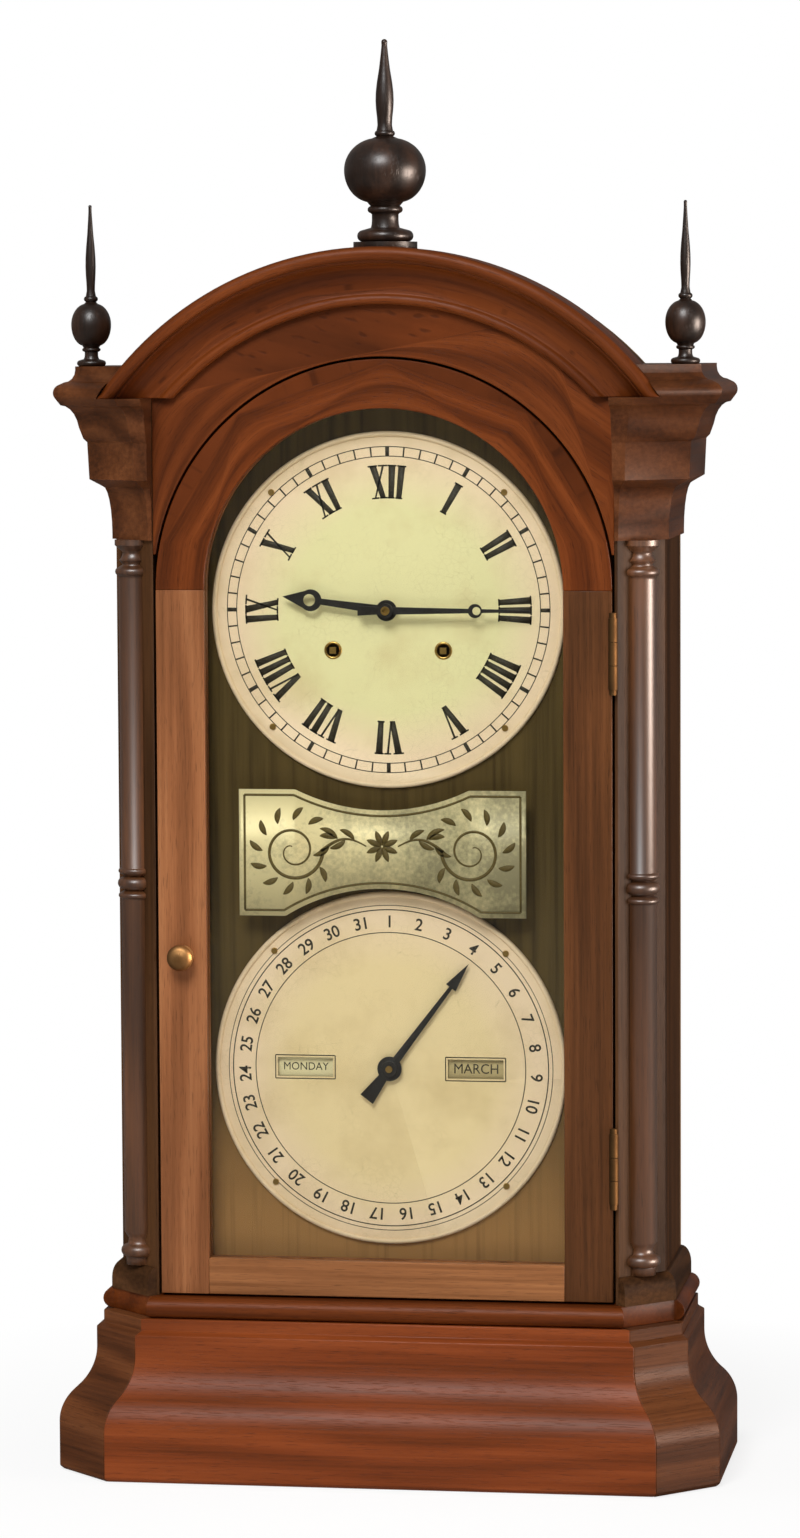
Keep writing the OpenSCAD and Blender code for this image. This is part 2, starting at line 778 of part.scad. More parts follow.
// A strip wound in a spiral from r0 out to r1
module spiral(r0, r1, turns, t) {
    n = 24 * turns;
    outer = [for (i = [0:n]) let (r = r0 + (r1 - r0) * i / n, a = 15 * i) [r * cos(a), r * sin(a)]];
    inner = [for (i = [n:-1:0]) let (r = r0 + (r1 - r0) * i / n - t, a = 15 * i) [r * cos(a), r * sin(a)]];
    polygon(concat(outer, inner));
}

module mainsprings() {
    strip = 1.2;
    color([0.35, 0.36, 0.40]) for (at = [main_at, strike_at])
        translate([at[0], 0, at[1]]) standing(y_spring, y_spring + spring_w)
            spiral(winding_d / 2 + run_gap + strip, spring_d / 2, 6, strip);
}

// Bracket on the back plate that holds the top of the suspension spring
module suspension_cock() {
    z0 = pivot_z + 3;
    color([0.72, 0.58, 0.28]) difference() {
        union() {
            translate([-8, y_plate_back, z0 - 1]) cube([16, 2, 14]);
            translate([-5, y_plate_back, z0]) cube([10, y_pendulum - y_plate_back + 5, 7]);
        }
        translate([-0.7, y_pendulum - 3.5, z0 - 2]) cube([1.4, 7, 6]);
    }
}

module gong_base() {
    color([0.16, 0.15, 0.15]) {
        bar_y(gong_at, 12, y_inner_back - 5, y_inner_back);
        bar_y(gong_at, 5, y_pendulum - 3, y_inner_back - 5);
    }
}

module gong_coil() {
    color([0.25, 0.25, 0.30]) translate([gong_at[0], 0, gong_at[1]])
        standing(y_pendulum - 2, y_pendulum + 2) spiral(5 + gong_strip, gong_r, 4, gong_strip);
}

// Plate with four posts and two pairs of lugs that carry the rollers and the date wheel
module calendar_plate() {
    t = 2;
    color([0.70, 0.57, 0.28]) difference() {
        union() {
            translate([-cal_half_w, y_cal_plate, cal_z - cal_half_h])
                cube([2 * cal_half_w, t, 2 * cal_half_h]);
            for (x = [-1, 1], z = [-1, 1])
                bar_y([x * (cal_half_w - 5), cal_z + z * (cal_half_h - 5)], 3, y_board_back, y_cal_plate);
            for (s = [[-1, y_day], [1, y_month]], e = [-1, 1])
                translate([s[0] * window_x + e * (roller_l / 2 + 1.2 + lug_t / 2) - lug_t / 2, s[1] - 4,
                    cal_z - 4])
                    cube([lug_t, y_cal_plate - s[1] + 4, 8]);
        }
        bar_y([0, cal_z], 2 + fit, y_cal_plate - 1, y_cal_plate + t + 1);
        for (s = [[-1, y_day], [1, y_month]])
            translate([s[0] * window_x - roller_l / 2 - 5, s[1], cal_z]) rotate([0, 90, 0])
                cylinder(r = roller_arbor_r + fit, h = roller_l + 10);
    }
}

// Hinges: each knuckle is a third of the height, and the pin stays with the case
module knuckle(z0, z1) {
    translate([hinge_x, hinge_y, z0]) cylinder(d = knuckle_d, h = z1 - z0);
}

module hinge_case_leaves() {
    third = hinge_h / 3;
    color([0.72, 0.58, 0.30]) for (z = [hinge_low_z, hinge_high_z]) {
        low = z - hinge_h / 2;
        translate([post_in - leaf_t, y_front, low]) cube([leaf_t, leaf_d, hinge_h]);
        for (z0 = [low, low + 2 * third]) {
            knuckle(z0, z0 + third);
            translate([post_in - leaf_t, hinge_y, z0]) cube([leaf_t, y_front - hinge_y, third]);
        }
        translate([hinge_x, hinge_y, low - 3]) cylinder(d = hinge_pin_d, h = hinge_h + 6);
        for (z1 = [low - 3, low + hinge_h]) translate([hinge_x, hinge_y, z1])
            cylinder(d = knuckle_d - 1, h = 3);
    }
}

module hinge_door_leaves() {
    third = hinge_h / 3;
    color([0.72, 0.58, 0.30]) for (z = [hinge_low_z, hinge_high_z]) difference() {
        union() {
            translate([door_half, y_front, z - hinge_h / 2]) cube([leaf_t, leaf_d, hinge_h]);
            knuckle(z - third / 2 + run_gap, z + third / 2 - run_gap);
            translate([door_half, hinge_y, z - third / 2 + run_gap])
                cube([leaf_t, y_front - hinge_y, third - 2 * run_gap]);
        }
        translate([hinge_x, hinge_y, z - third]) cylinder(d = hinge_pin_d + 2 * fit, h = 2 * third);
    }
}

module door_stiles() {
    w = stile_w;
    color([0.48, 0.31, 0.20]) difference() {
        both_sides() difference() {
            translate([open_half, y_front, door_z]) cube([w, door_t, arch_z - door_z]);
            translate([open_half - 1, y_glass, open_z - rebate_w])
                cube([rebate_w + 1, door_t, arch_z - open_z + rebate_w + 1]);
        }
        bar_y([knob_x, knob_z], knob_shaft_d / 2 + fit, y_front - 1, y_door_back + 1);
        translate([-door_half - 1, y_door_back - pocket_d, knob_z - 6])
            cube([door_half + knob_x + 6 + 1, pocket_d + 1, latch_l + 8]);
    }
}

module door_bottom_rail() {
    color([0.50, 0.31, 0.20]) difference() {
        translate([-open_half, y_front, door_z]) cube([2 * open_half, door_t, rail_h]);
        translate([-open_half - 1, y_glass, open_z - rebate_w])
            cube([2 * open_half + 2, door_t, rebate_w + 1]);
    }
}

module door_arch_rail() {
    color([0.45, 0.25, 0.15]) {
        standing(y_front, y_glass) arch_band(open_half, door_half);
        standing(y_glass, y_door_back) arch_band(open_half + rebate_w, door_half);
    }
}

module arch_band(r_in, r_out) {
    intersection() {
        translate([0, arch_z]) difference() {
            circle(r_out);
            circle(r_in);
        }
        translate([-far, arch_z]) square([2 * far, far]);
    }
}

module door_glass() {
    color([0.80, 0.88, 0.88, 0.3]) standing(y_glass, y_glass + glass_t)
        arch_shape(open_half + rebate_w - seat, open_z - rebate_w + seat);
}

module glazing_beads() {
    color([0.36, 0.22, 0.14]) standing(y_glass + glass_t, y_glass + glass_t + bead_t) difference() {
        arch_shape(open_half + rebate_w - seat, open_z - rebate_w + seat);
        arch_shape(open_half, open_z);
    }
}

// A turned knob in front, its shaft, and the latch tongue behind the stile
module door_knob() {
    r = knob_d / 2;
    y_latch = y_door_back - pocket_d + 0.7;
    color([0.75, 0.62, 0.34]) {
        translate([knob_x, y_front - run_gap, knob_z]) rotate([90, 0, 0]) rotate_extrude() polygon(concat(
            [[0, 0], [r - 1, 0], [r - 1, 1.2], [3, 2], [2.6, 4]],
            arc([r - 4, knob_out - 5], 4, -60, 85, 8), [[0, knob_out]]));
        bar_y([knob_x, knob_z], knob_shaft_d / 2, y_front - 1, y_latch + latch_t);
        translate([knob_x - 3, y_latch, knob_z - 4]) cube([6, latch_t, latch_l + 4]);
    }
}

// A hand drawn pointing up, turned clockwise by a and set at height z
module hand(y, z, a) {
    translate([0, 0, z]) standing(y - hand_t, y) rotate(-a) children();
}

module hand_hub(y0, y1, z, r, bore) {
    translate([0, y1, z]) rotate([90, 0, 0]) difference() {
        cylinder(r = r, h = y1 - y0);
        translate([0, 0, -1]) cylinder(r = bore, h = y1 - y0 + 2);
    }
}

module minute_hand() {
    bore = cannon_r + 0.03;
    moon_at = 0.62 * minute_l;
    color([0.08, 0.08, 0.10]) {
        hand(y_minute, time_z, minute_at) difference() {
            union() {
                polygon([[-2.2, 0], [2.2, 0], [1.2, moon_at], [0.5, minute_l], [-0.5, minute_l],
                    [-1.2, moon_at]]);
                translate([0, moon_at]) circle(4);
                polygon([[-1.8, 0], [1.8, 0], [2.8, -16], [-2.8, -16]]);
                circle(4.2);
            }
            circle(bore);
            translate([0, moon_at + 0.8]) circle(2.3);
        }
        hand_hub(y_minute - 2.2, y_minute - hand_t, time_z, 4.2, bore);
    }
}

module hour_hand() {
    bore = pipe_r + 0.03;
    spade_at = 0.78 * hour_l;
    color([0.08, 0.08, 0.10]) hand(y_hour, time_z, hour_at) difference() {
        union() {
            polygon([[-2.6, 0], [2.6, 0], [1.6, spade_at], [-1.6, spade_at]]);
            translate([0, spade_at]) circle(6.2);
            polygon([[-5, spade_at + 3.5], [5, spade_at + 3.5], [0, hour_l + 4]]);
            circle(pipe_r + 2.2);
        }
        circle(bore);
        translate([0, spade_at + 0.8]) circle(3.4);
    }
}

// Tube on the centre arbor that carries the minute hand, with the pinion of the motion work
module cannon_pinion() {
    teeth_y = y_plate - 3.4;
    color([0.70, 0.57, 0.28]) difference() {
        union() {
            pinion(centre_at, cannon_n, motion_m, gap_to(0, cannon_n), teeth_y, 2.8);
            bar_y(centre_at, cannon_r, y_minute - 3, teeth_y + 0.5);
        }
        bar_y(centre_at, arbor_d / 2 + fit, y_minute - 4, y_plate);
    }
}

module minute_wheel() {
    y0 = y_plate - 2.9;
    color([0.74, 0.60, 0.30]) difference() {
        union() {
            crossed_wheel(minute_wheel_at, motion_n, motion_m, 180, y0);
            pinion(minute_wheel_at, hour_leaf_n, hour_m, gap_to(180, hour_leaf_n), y0 - 5.4, 5.4);
        }
        bar_y(minute_wheel_at, 1.2 + fit, y0 - 6, y_plate);
    }
}

module hour_wheel() {
    y0 = y_plate - 2.9 - 4.6;
    color([0.74, 0.60, 0.30]) difference() {
        union() {
            crossed_wheel(centre_at, hour_n, hour_m, 0, y0);
            bar_y(centre_at, pipe_r, y_hour - hand_t - 0.6, y0 + wheel_t + 0.6);
        }
        bar_y(centre_at, cannon_r + fit, y_hour - 3, y_plate);
    }
}

module time_main_wheel() {
    color([0.74, 0.60, 0.30]) winding_arbor(main_at, main_angle + 180, y_main);
}

module strike_main_wheel() {
    color([0.74, 0.60, 0.30]) winding_arbor(strike_at, strike_angle, y_strike);
}

// A main wheel on its winding arbor, which has a square end in front
module winding_arbor(at, phase, y0) {
    sq = 0.62 * winding_d;
    crossed_wheel(at, main_n, main_m, phase, y0);
    bar_y(at, winding_d / 2, y_plate - 0.8, y_plate_back + 0.8);
    translate([at[0] - sq / 2, y_dial - 1.5, at[1] - sq / 2]) cube([sq, y_plate - y_dial + 1.5, sq]);
}

module centre_wheel() {
    color([0.74, 0.60, 0.30]) {
        crossed_wheel(centre_at, centre_n, centre_m, third_angle, y_centre);
        pinion(centre_at, leaf_n, main_m, gap_to(main_angle, leaf_n), y_main - 1, wheel_t + 2);
        bar_y(centre_at, arbor_d / 2, y_minute - 1, y_plate_back + 0.8);
    }
}

module third_wheel() {
    color([0.74, 0.60, 0.30]) {
        crossed_wheel(third_at, third_n, third_m, escape_angle, y_third);
        pinion(third_at, leaf_n, centre_m, gap_to(third_angle + 180, leaf_n), y_centre - 1, wheel_t + 2);
        bar_y(third_at, arbor_d / 2, y_plate - 0.8, y_plate_back + 0.8);
    }
}

// Escape wheel with pointed teeth, all raked the same way
module escape_wheel() {
    root = escape_r - 3;
    pitch = 360 / escape_n;
    color([0.74, 0.60, 0.30]) {
        translate([escape_at[0], 0, escape_at[1]]) standing(y_escape, y_escape + wheel_t) difference() {
            polygon([for (i = [0:escape_n - 1],
                s = [[root, 0], [escape_r, 0.05], [escape_r, 0.16], [root, 0.62]])
                let (a = (i + s[1]) * pitch) s[0] * [cos(a), sin(a)]]);
            difference() {
                circle(root - 1.6);
                circle(3);
                for (a = [0, 90]) rotate(a + 20) square([2 * root, 1.8], center = true);
            }
        }
        pinion(escape_at, leaf_n, third_m, gap_to(escape_angle + 180, leaf_n), y_third - 1, wheel_t + 2);
        bar_y(escape_at, arbor_d / 2, y_plate - 0.8, y_plate_back + 0.8);
    }
}

// Anchor over the escape wheel, its arbor, and the crutch behind the back plate
module verge_and_crutch() {
    span = 30.7;
    clear_r = escape_r + 1.1;
    y_crutch = y_plate_back + 3;
    fork_z = pivot_z - 34;
    prong = rod_r + run_gap;
    color([0.45, 0.45, 0.48]) {
        standing(y_escape - 0.4, y_escape + wheel_t + 0.4) intersection() {
            translate([0, escape_at[1]]) difference() {
                circle(clear_r + 3.2);
                circle(clear_r);
            }
            polygon([[0, escape_at[1]], polar(escape_at, 40, 90 + span + 5), [0, pivot_z + 30],
                polar(escape_at, 40, 90 - span - 5)]);
        }
        standing(y_escape - 0.4, y_escape + wheel_t + 0.4) translate([0, pivot_z]) circle(3);
        bar_y([0, pivot_z], arbor_d / 2, y_plate - 0.8, y_crutch + 1.5);
        translate([-1.5, y_crutch, fork_z]) cube([3, 1.5, pivot_z - fork_z]);
        translate([-prong - 1.5, y_crutch, fork_z - 2]) cube([2 * prong + 3, 1.5, 4]);
        for (x = [-prong - 1.5, prong])
            translate([x, y_crutch, fork_z - 2]) cube([1.5, y_pendulum + 4 - y_crutch, 4]);
    }
}

module pendulum_rod() {
    color([0.62, 0.52, 0.32]) {
        translate([-0.2, y_pendulum - 2.5, pivot_z - 20]) cube([0.4, 5, 25]);
        translate([-2, y_pendulum - 3, pivot_z - 22]) cube([4, 6, 6]);
        translate([0, y_pendulum, bob_z - bob_d / 2 - 16])
            cylinder(r = rod_r, h = pivot_z - 20 - bob_z + bob_d / 2 + 16);
    }
}

// A lens-shaped bob and the rating nut under it
module pendulum_bob() {
    r = bob_d / 2;
    h = bob_t / 2;
    color([0.78, 0.64, 0.34]) difference() {
        union() {
            translate([0, y_pendulum, bob_z]) rotate([90, 0, 0]) rotate_extrude() polygon(concat(
                [[0, -h]], [for (i = [1:10]) let (a = 9 * i) [r * sin(a), -h * cos(a) - 0.6 * sin(a)]],
                [for (i = [10:-1:1]) let (a = 9 * i) [r * sin(a), h * cos(a) + 0.6 * sin(a)]], [[0, h]]));
            translate([0, y_pendulum, bob_z - r - 8]) cylinder(r = 5, h = 4);
        }
        translate([0, y_pendulum, bob_z - r - 20]) cylinder(r = rod_r + 0.05, h = bob_d + 40);
    }
}

module strike_second_wheel() {
    color([0.74, 0.60, 0.30]) {
        crossed_wheel(second_at, strike_n, strike_m, fly_angle, y_centre);
        pinion(second_at, leaf_n, main_m, gap_to(strike_angle + 180, leaf_n), y_strike - 1, wheel_t + 2);
        bar_y(second_at, arbor_d / 2, y_plate - 0.8, y_plate_back + 0.8);
    }
}

// The fly: a fan that holds the striking to an even pace
module strike_fly() {
    color([0.74, 0.60, 0.30]) {
        pinion(fly_at, leaf_n, strike_m, gap_to(fly_angle + 180, leaf_n), y_centre - 1, wheel_t + 2);
        bar_y(fly_at, arbor_d / 2, y_plate - 0.8, y_plate_back + 0.8);
        translate([fly_at[0] - 9, y_plate_in + 4, fly_at[1] - 0.5]) cube([18, 16, 1]);
        bar_y(fly_at, 2.4, y_plate_in + 4, y_plate_in + 20);
    }
}

module strike_hammer() {
    d = head_at - hammer_at;
    a = atan2(d[1], d[0]);
    y0 = y_plate_back + 3;
    color([0.45, 0.45, 0.48]) {
        bar_y(hammer_at, arbor_d / 2, y_plate - 0.8, y0 + 2);
        bar_y(hammer_at, 4, y0, y0 + 2);
        translate([hammer_at[0], 0, hammer_at[1]]) standing(y0, y0 + 2) rotate(a)
            translate([0, -1.2]) square([norm(d), 2.4]);
        bar_y(head_at, hammer_r, y0 - 1, y_pendulum + 4);
    }
}

module date_hand() {
    tip = 0.80 * date_l;
    color([0.10, 0.10, 0.12]) {
        hand(y_dial - 2.5, cal_z, date_at) difference() {
            union() {
                polygon([[-2.4, 0], [2.4, 0], [1, tip], [0, date_l], [-1, tip]]);
                polygon([[-3.4, tip - 2], [3.4, tip - 2], [0, date_l]]);
                polygon([[-2, 0], [2, 0], [4.5, -22], [-4.5, -22]]);
                circle(7);
            }
            circle(2.03);
        }
        hand_hub(y_dial - 5, y_dial - 2.5 - hand_t, cal_z, 4.5, 2.03);
    }
}

// The date wheel has a tooth for each day, and its arbor carries the hand
module date_wheel() {
    n = 31;
    y0 = y_board_back + 8;
    color([0.74, 0.60, 0.30]) {
        translate([0, 0, cal_z]) standing(y0, y0 + wheel_t) difference() {
            polygon([for (i = [0:n - 1],
                s = [[date_wheel_r - 3, 0], [date_wheel_r, 0.1], [date_wheel_r - 3, 0.8]])
                let (a = (i + s[1]) * 360 / n) s[0] * [cos(a), sin(a)]]);
            difference() {
                circle(date_wheel_r - 6);
                circle(5);
                for (a = [0, 90]) rotate(a) square([2 * date_wheel_r, 3], center = true);
            }
        }
        bar_y([0, cal_z], 2, y_dial - 6, y_cal_plate + 3);
    }
}

module roller(x, y, r, n) {
    translate([x, y, cal_z]) rotate([0, 90, 0]) {
        rotate([0, 0, 90 + 180 - 180 / n]) cylinder(r = r, h = roller_l, center = true, $fn = n);
        cylinder(r = roller_arbor_r, h = roller_l + 7, center = true);
    }
}

module day_roller() {
    color([0.90, 0.87, 0.74]) roller(-window_x, y_day, day_r, 7);
}

module month_roller() {
    color([0.90, 0.87, 0.74]) roller(window_x, y_month, month_r, 12);
}

base_board();
base_front_moulding();
base_return_mouldings();
base_back_rail();
deck_board();
foot_mouldings();
side_panels();
corner_posts();
columns();
arch_fascia();
roof_board();
crown_moulding();
capital_left();
capital_right();
back_board();
finial_plinth();
finial_middle();
side_finials();
dial_board();
time_dial();
calendar_dial();
dial_screws();
movement_blocks();
movement_front_plate();
movement_back_plate();
movement_pillars();
movement_screws();
mainsprings();
suspension_cock();
gong_base();
gong_coil();
calendar_plate();
hinge_case_leaves();
door_stiles();
door_bottom_rail();
door_arch_rail();
door_glass();
glazing_beads();
hinge_door_leaves();
door_knob();
minute_hand();
cannon_pinion();
minute_wheel();
hour_wheel();
hour_hand();
time_main_wheel();
centre_wheel();
third_wheel();
escape_wheel();
verge_and_crutch();
pendulum_rod();
pendulum_bob();
strike_main_wheel();
strike_second_wheel();
strike_fly();
strike_hammer();
date_hand();
date_wheel();
day_roller();
month_roller();
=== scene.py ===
"""Looks, light and camera of the calendar clock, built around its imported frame."""

import json
import logging
import math
from dataclasses import dataclass
from enum import Enum

import bmesh
import bpy
import numpy as np
from mathutils import Matrix, Vector


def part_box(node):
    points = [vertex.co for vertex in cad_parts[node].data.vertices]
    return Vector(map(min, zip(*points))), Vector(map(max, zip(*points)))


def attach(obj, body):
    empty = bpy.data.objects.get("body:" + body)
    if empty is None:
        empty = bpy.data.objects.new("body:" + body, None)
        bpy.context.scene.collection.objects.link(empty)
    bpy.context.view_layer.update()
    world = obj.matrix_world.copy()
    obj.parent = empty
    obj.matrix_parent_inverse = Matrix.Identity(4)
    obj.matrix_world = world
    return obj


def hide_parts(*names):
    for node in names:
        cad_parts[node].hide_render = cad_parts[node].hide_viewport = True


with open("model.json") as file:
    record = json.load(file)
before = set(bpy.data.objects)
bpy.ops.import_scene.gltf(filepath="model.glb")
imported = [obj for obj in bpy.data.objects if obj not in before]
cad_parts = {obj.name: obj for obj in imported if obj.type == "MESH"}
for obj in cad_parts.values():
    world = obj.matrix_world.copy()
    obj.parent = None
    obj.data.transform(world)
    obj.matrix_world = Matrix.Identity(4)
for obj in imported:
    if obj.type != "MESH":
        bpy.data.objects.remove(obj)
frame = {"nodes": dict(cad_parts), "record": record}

LOG = logging.getLogger("calendar_clock")
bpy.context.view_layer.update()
MM = 0.001
GRAIN = "grain"
BEND, STREAK, CLOUD, PORE = (1.6, 11.0, 11.0), (9.0, 420.0, 420.0), (5.0, 13.0, 13.0), (90.0, 2400.0, 2400.0)
RINGS, WAVER, RING_SHARE = 210.0, 34.0, 0.3
TURN = 2 * math.pi
# Metres: the arch's middle in (x, z), and the radius that its grain is measured on.
ARCH_MIDDLE, ARCH_RADIUS = (0.0, 0.505), 0.17
# How far one step of a seed moves the grain along the board and across it, in metres.
SEED_STEP = (3.1, 0.37, 0.23)
# Height of the capitals as a share of the type size, and the share of their width that words keep at most.
CAPITALS, KEPT_WIDTH = 0.73, 0.95
# Points nearer than this in metres are joined, and faces within this angle in radians are one.
WELD, LEVEL = 2e-6, math.radians(0.2)
Colour = tuple[float, float, float]
Faces = list[list[int]]
Shape = tuple[np.ndarray, Faces]
Pair = tuple[float, float]
Place = tuple[float, float, float]
Piece = bpy.types.Object
Material = bpy.types.Material
Node = bpy.types.Node
Socket = bpy.types.NodeSocket


def srgb(*display: int) -> Colour:
    """Turns a colour's three display values from 0 to 255 into linear values from 0 to 1."""
    shares = [value / 255 for value in display]
    return tuple(c / 12.92 if c <= 0.04045 else ((c + 0.055) / 1.055) ** 2.4 for c in shares)


def scaled(colour: Colour, share: float) -> Colour:
    """The colour at a share of its brightness."""
    return tuple(min(1.0, c * share) for c in colour)


def stand(name: str, data: bpy.types.ID) -> Piece:
    """Makes an object and links it to the scene.

    Args:
        name: its name.
        data: its mesh, curve, lamp or camera.

    Returns:
        The object.
    """
    made = bpy.data.objects.new(name, data)
    bpy.context.scene.collection.objects.link(made)
    return made


def middle_of(node: str) -> Place:
    """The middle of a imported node's box."""
    return tuple((a + b) / 2 for a, b in zip(*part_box(node)))


class GrainRun(Enum):
    """The way the grain of a wooden piece runs."""

    ACROSS = "x"
    DEEP = "y"
    UPRIGHT = "z"
    ROUND_ARCH = "arch"


class Edge:
    """Widths of rounded arrises in millimetres."""

    BOARD, MOULDING, METAL, HAND, SCREW, BEAD = 0.4, 0.5, 0.1, 0.12, 0.15, 0.2


class Nodes:
    """A shader tree under construction."""

    def __init__(self, name: str, world: bool = False) -> None:
        """Starts an empty tree.

        Args:
            name: name of its owner.
            world: whether the owner is a world and not a material.
        """
        self.owner = (bpy.data.worlds if world else bpy.data.materials).new(name)
        self.owner.use_nodes = True
        self.tree = self.owner.node_tree
        self.tree.nodes.clear()
        self.output = self.tree.nodes.new("ShaderNodeOutput" + ("World" if world else "Material"))

    def add(self, kind: str, options: dict | None = None, *ordered: object, **inputs: object) -> Node:
        """Adds a node.

        Args:
            kind: node type without its ShaderNode prefix.
            options: node properties to set.
            ordered: values or sockets for the inputs from the first on, None for one that is left as it is.
            inputs: values or sockets for inputs by name, with _ for a space.

        Returns:
            The new node.
        """
        node = self.tree.nodes.new("ShaderNode" + kind)
        for key, value in (options or {}).items():
            setattr(node, key, value)
        named = [(key.replace("_", " "), value) for key, value in inputs.items()]
        for key, value in [*enumerate(ordered), *named]:
            if value is not None:
                self.put(node, key, value)
        return node

    def put(self, node: Node, key: str | int, value: object) -> None:
        """Sets one input of a node to a value, or links a socket to it.

        Args:
            node: the node.
            key: the input's name or number.
            value: a number, vector, colour or socket.
        """
        socket = node.inputs[key]
        if isinstance(value, Socket):
            self.tree.links.new(value, socket)
        elif socket.type == "RGBA":
            socket.default_value = (*value, 1.0)
        else:
            socket.default_value = value

    def math(self, operation: str, a: object, b: object = 0.0, c: object = 0.0) -> Socket:
        """The result of a Math node on up to three values or sockets."""
        return self.add("Math", {"operation": operation}, a, b, c).outputs[0]

    def vector(self, operation: str, a: object, b: object) -> Socket:
        """The vector result of a Vector Math node."""
        return self.add("VectorMath", {"operation": operation}, a, b).outputs[0]

    def length(self, a: object) -> Socket:
        """The length of a vector."""
        return self.add("VectorMath", {"operation": "LENGTH"}, a).outputs["Value"]

    def place(self) -> Socket:
        """The Object coordinates of the point."""
        return self.add("TexCoord").outputs["Object"]

    def noise(self, where: object, scale: float, detail: float = 3.0, rough: float = 0.5) -> Socket:
        """Noise from 0 to 1 at the given place."""
        return self.add("TexNoise", Vector=where, Scale=scale, Detail=detail, Roughness=rough).outputs[0]

    def drawn(self, where: object, stretch: Place, detail: float, rough: float = 0.5) -> Socket:
        """Noise with its own scale along each axis, so that its marks are drawn out."""
        return self.noise(self.vector("MULTIPLY", where, stretch), 1.0, detail, rough)

    def ramp(self, factor: object, *stops: tuple[float, Colour]) -> Socket:
        """A colour ramp.

        Args:
            factor: the place on the ramp.
            stops: places and their colours.

        Returns:
            The colour's socket.
        """
        node = self.add("ValToRGB", Fac=factor)
        elements = node.color_ramp.elements
        while len(elements) < len(stops):
            elements.new(0.5)
        for element, (place, colour) in zip(elements, stops):
            element.position = place
            element.color = (*colour, 1.0)
        return node.outputs[0]

    def mix(self, factor: object, a: object, b: object) -> Socket:
        """Two colours mixed by a factor."""
        return self.add("Mix", {"data_type": "RGBA"}, factor, *[None] * 5, a, b).outputs[2]

    def spread(self, value: object, low: float, high: float, to_low: float, to_high: float) -> Socket:
        """A value mapped from one range to another, clamped at both ends."""
        return self.add("MapRange", None, value, low, high, to_low, to_high).outputs[0]

    def bump(self, height: object, distance: float, strength: float = 1.0) -> Socket:
        """A bumped normal from a height."""
        return self.add("Bump", Height=height, Distance=distance, Strength=strength).outputs[0]

    def close(self, shader: Node) -> bpy.types.ID:
        """Links the last shader to the output and returns the material or the world."""
        self.tree.links.new(shader.outputs[0], self.output.inputs[0])
        return self.owner

    def blend(self, factor: object, a: Node, b: Node) -> bpy.types.ID:
        """Closes the tree with two shaders mixed by a factor."""
        return self.close(self.add("MixShader", None, factor, a.outputs[0], b.outputs[0]))

    def principled(self, **inputs: object) -> Material:
        """Closes the tree with a Principled surface."""
        return self.close(self.add("BsdfPrincipled", **inputs))


@dataclass(frozen=True)
class Wood:
    """Polished walnut whose grain follows the grain attribute, its first number along the board."""

    name: str
    dark: Colour
    middle: Colour
    light: Colour
    roughness: float = 0.4
    gloss: float = 0.12
    polish: float = 0.04
    varnish: float = 1.5

    def material(self) -> Material:
        """Growth rings bent by slow noise, fine streaks along the board, short dark pores and worn polish.

        The rings are the sine of RINGS times the place across the board plus WAVER times a slow noise, and take
        RING_SHARE of the tone. BEND, STREAK, CLOUD and PORE are marks per metre along and across the board.

        Returns:
            The material.
        """
        n = Nodes(self.name)
        place = n.add("Attribute", {"attribute_name": GRAIN}).outputs["Vector"]
        slow = n.drawn(place, BEND, 2.0)
        split = n.add("SeparateXYZ", Vector=place)
        across = n.math("MULTIPLY_ADD", split.outputs[2], 0.6, split.outputs[1])
        phase = n.math("MULTIPLY_ADD", across, RINGS, n.math("MULTIPLY", slow, WAVER))
        rings = n.math("MULTIPLY_ADD", n.math("SINE", phase), 0.5, 0.5)
        streaks = n.drawn(place, STREAK, 4.0, 0.6)
        tone = n.math("MULTIPLY_ADD", rings, RING_SHARE, n.math("MULTIPLY", streaks, 1.0 - RING_SHARE))
        colour = n.ramp(tone, (0.24, self.dark), (0.5, self.middle), (0.76, self.light))
        cloud = n.drawn(place, CLOUD, 2.0)
        colour = n.mix(n.spread(cloud, 0.35, 0.7, 0.0, 0.4), colour, self.dark)
        pores = n.drawn(place, PORE, 1.0)
        pits = n.spread(pores, 0.62, 0.7, 0.0, 1.0)
        colour = n.mix(n.math("MULTIPLY", pits, 0.5), colour, scaled(self.dark, 0.45))
        rough = n.math("MULTIPLY_ADD", cloud, 0.16, n.math("MULTIPLY_ADD", streaks, 0.1, self.roughness - 0.13))
        height = n.math("SUBTRACT", n.math("MULTIPLY", streaks, 0.4), pits)
        return n.principled(
            Base_Color=colour, Roughness=rough, Specular_IOR_Level=self.gloss,
            Normal=n.bump(height, 0.00012, 0.45), Coat_Weight=self.polish, Coat_Roughness=0.4,
            Coat_IOR=self.varnish,
        )


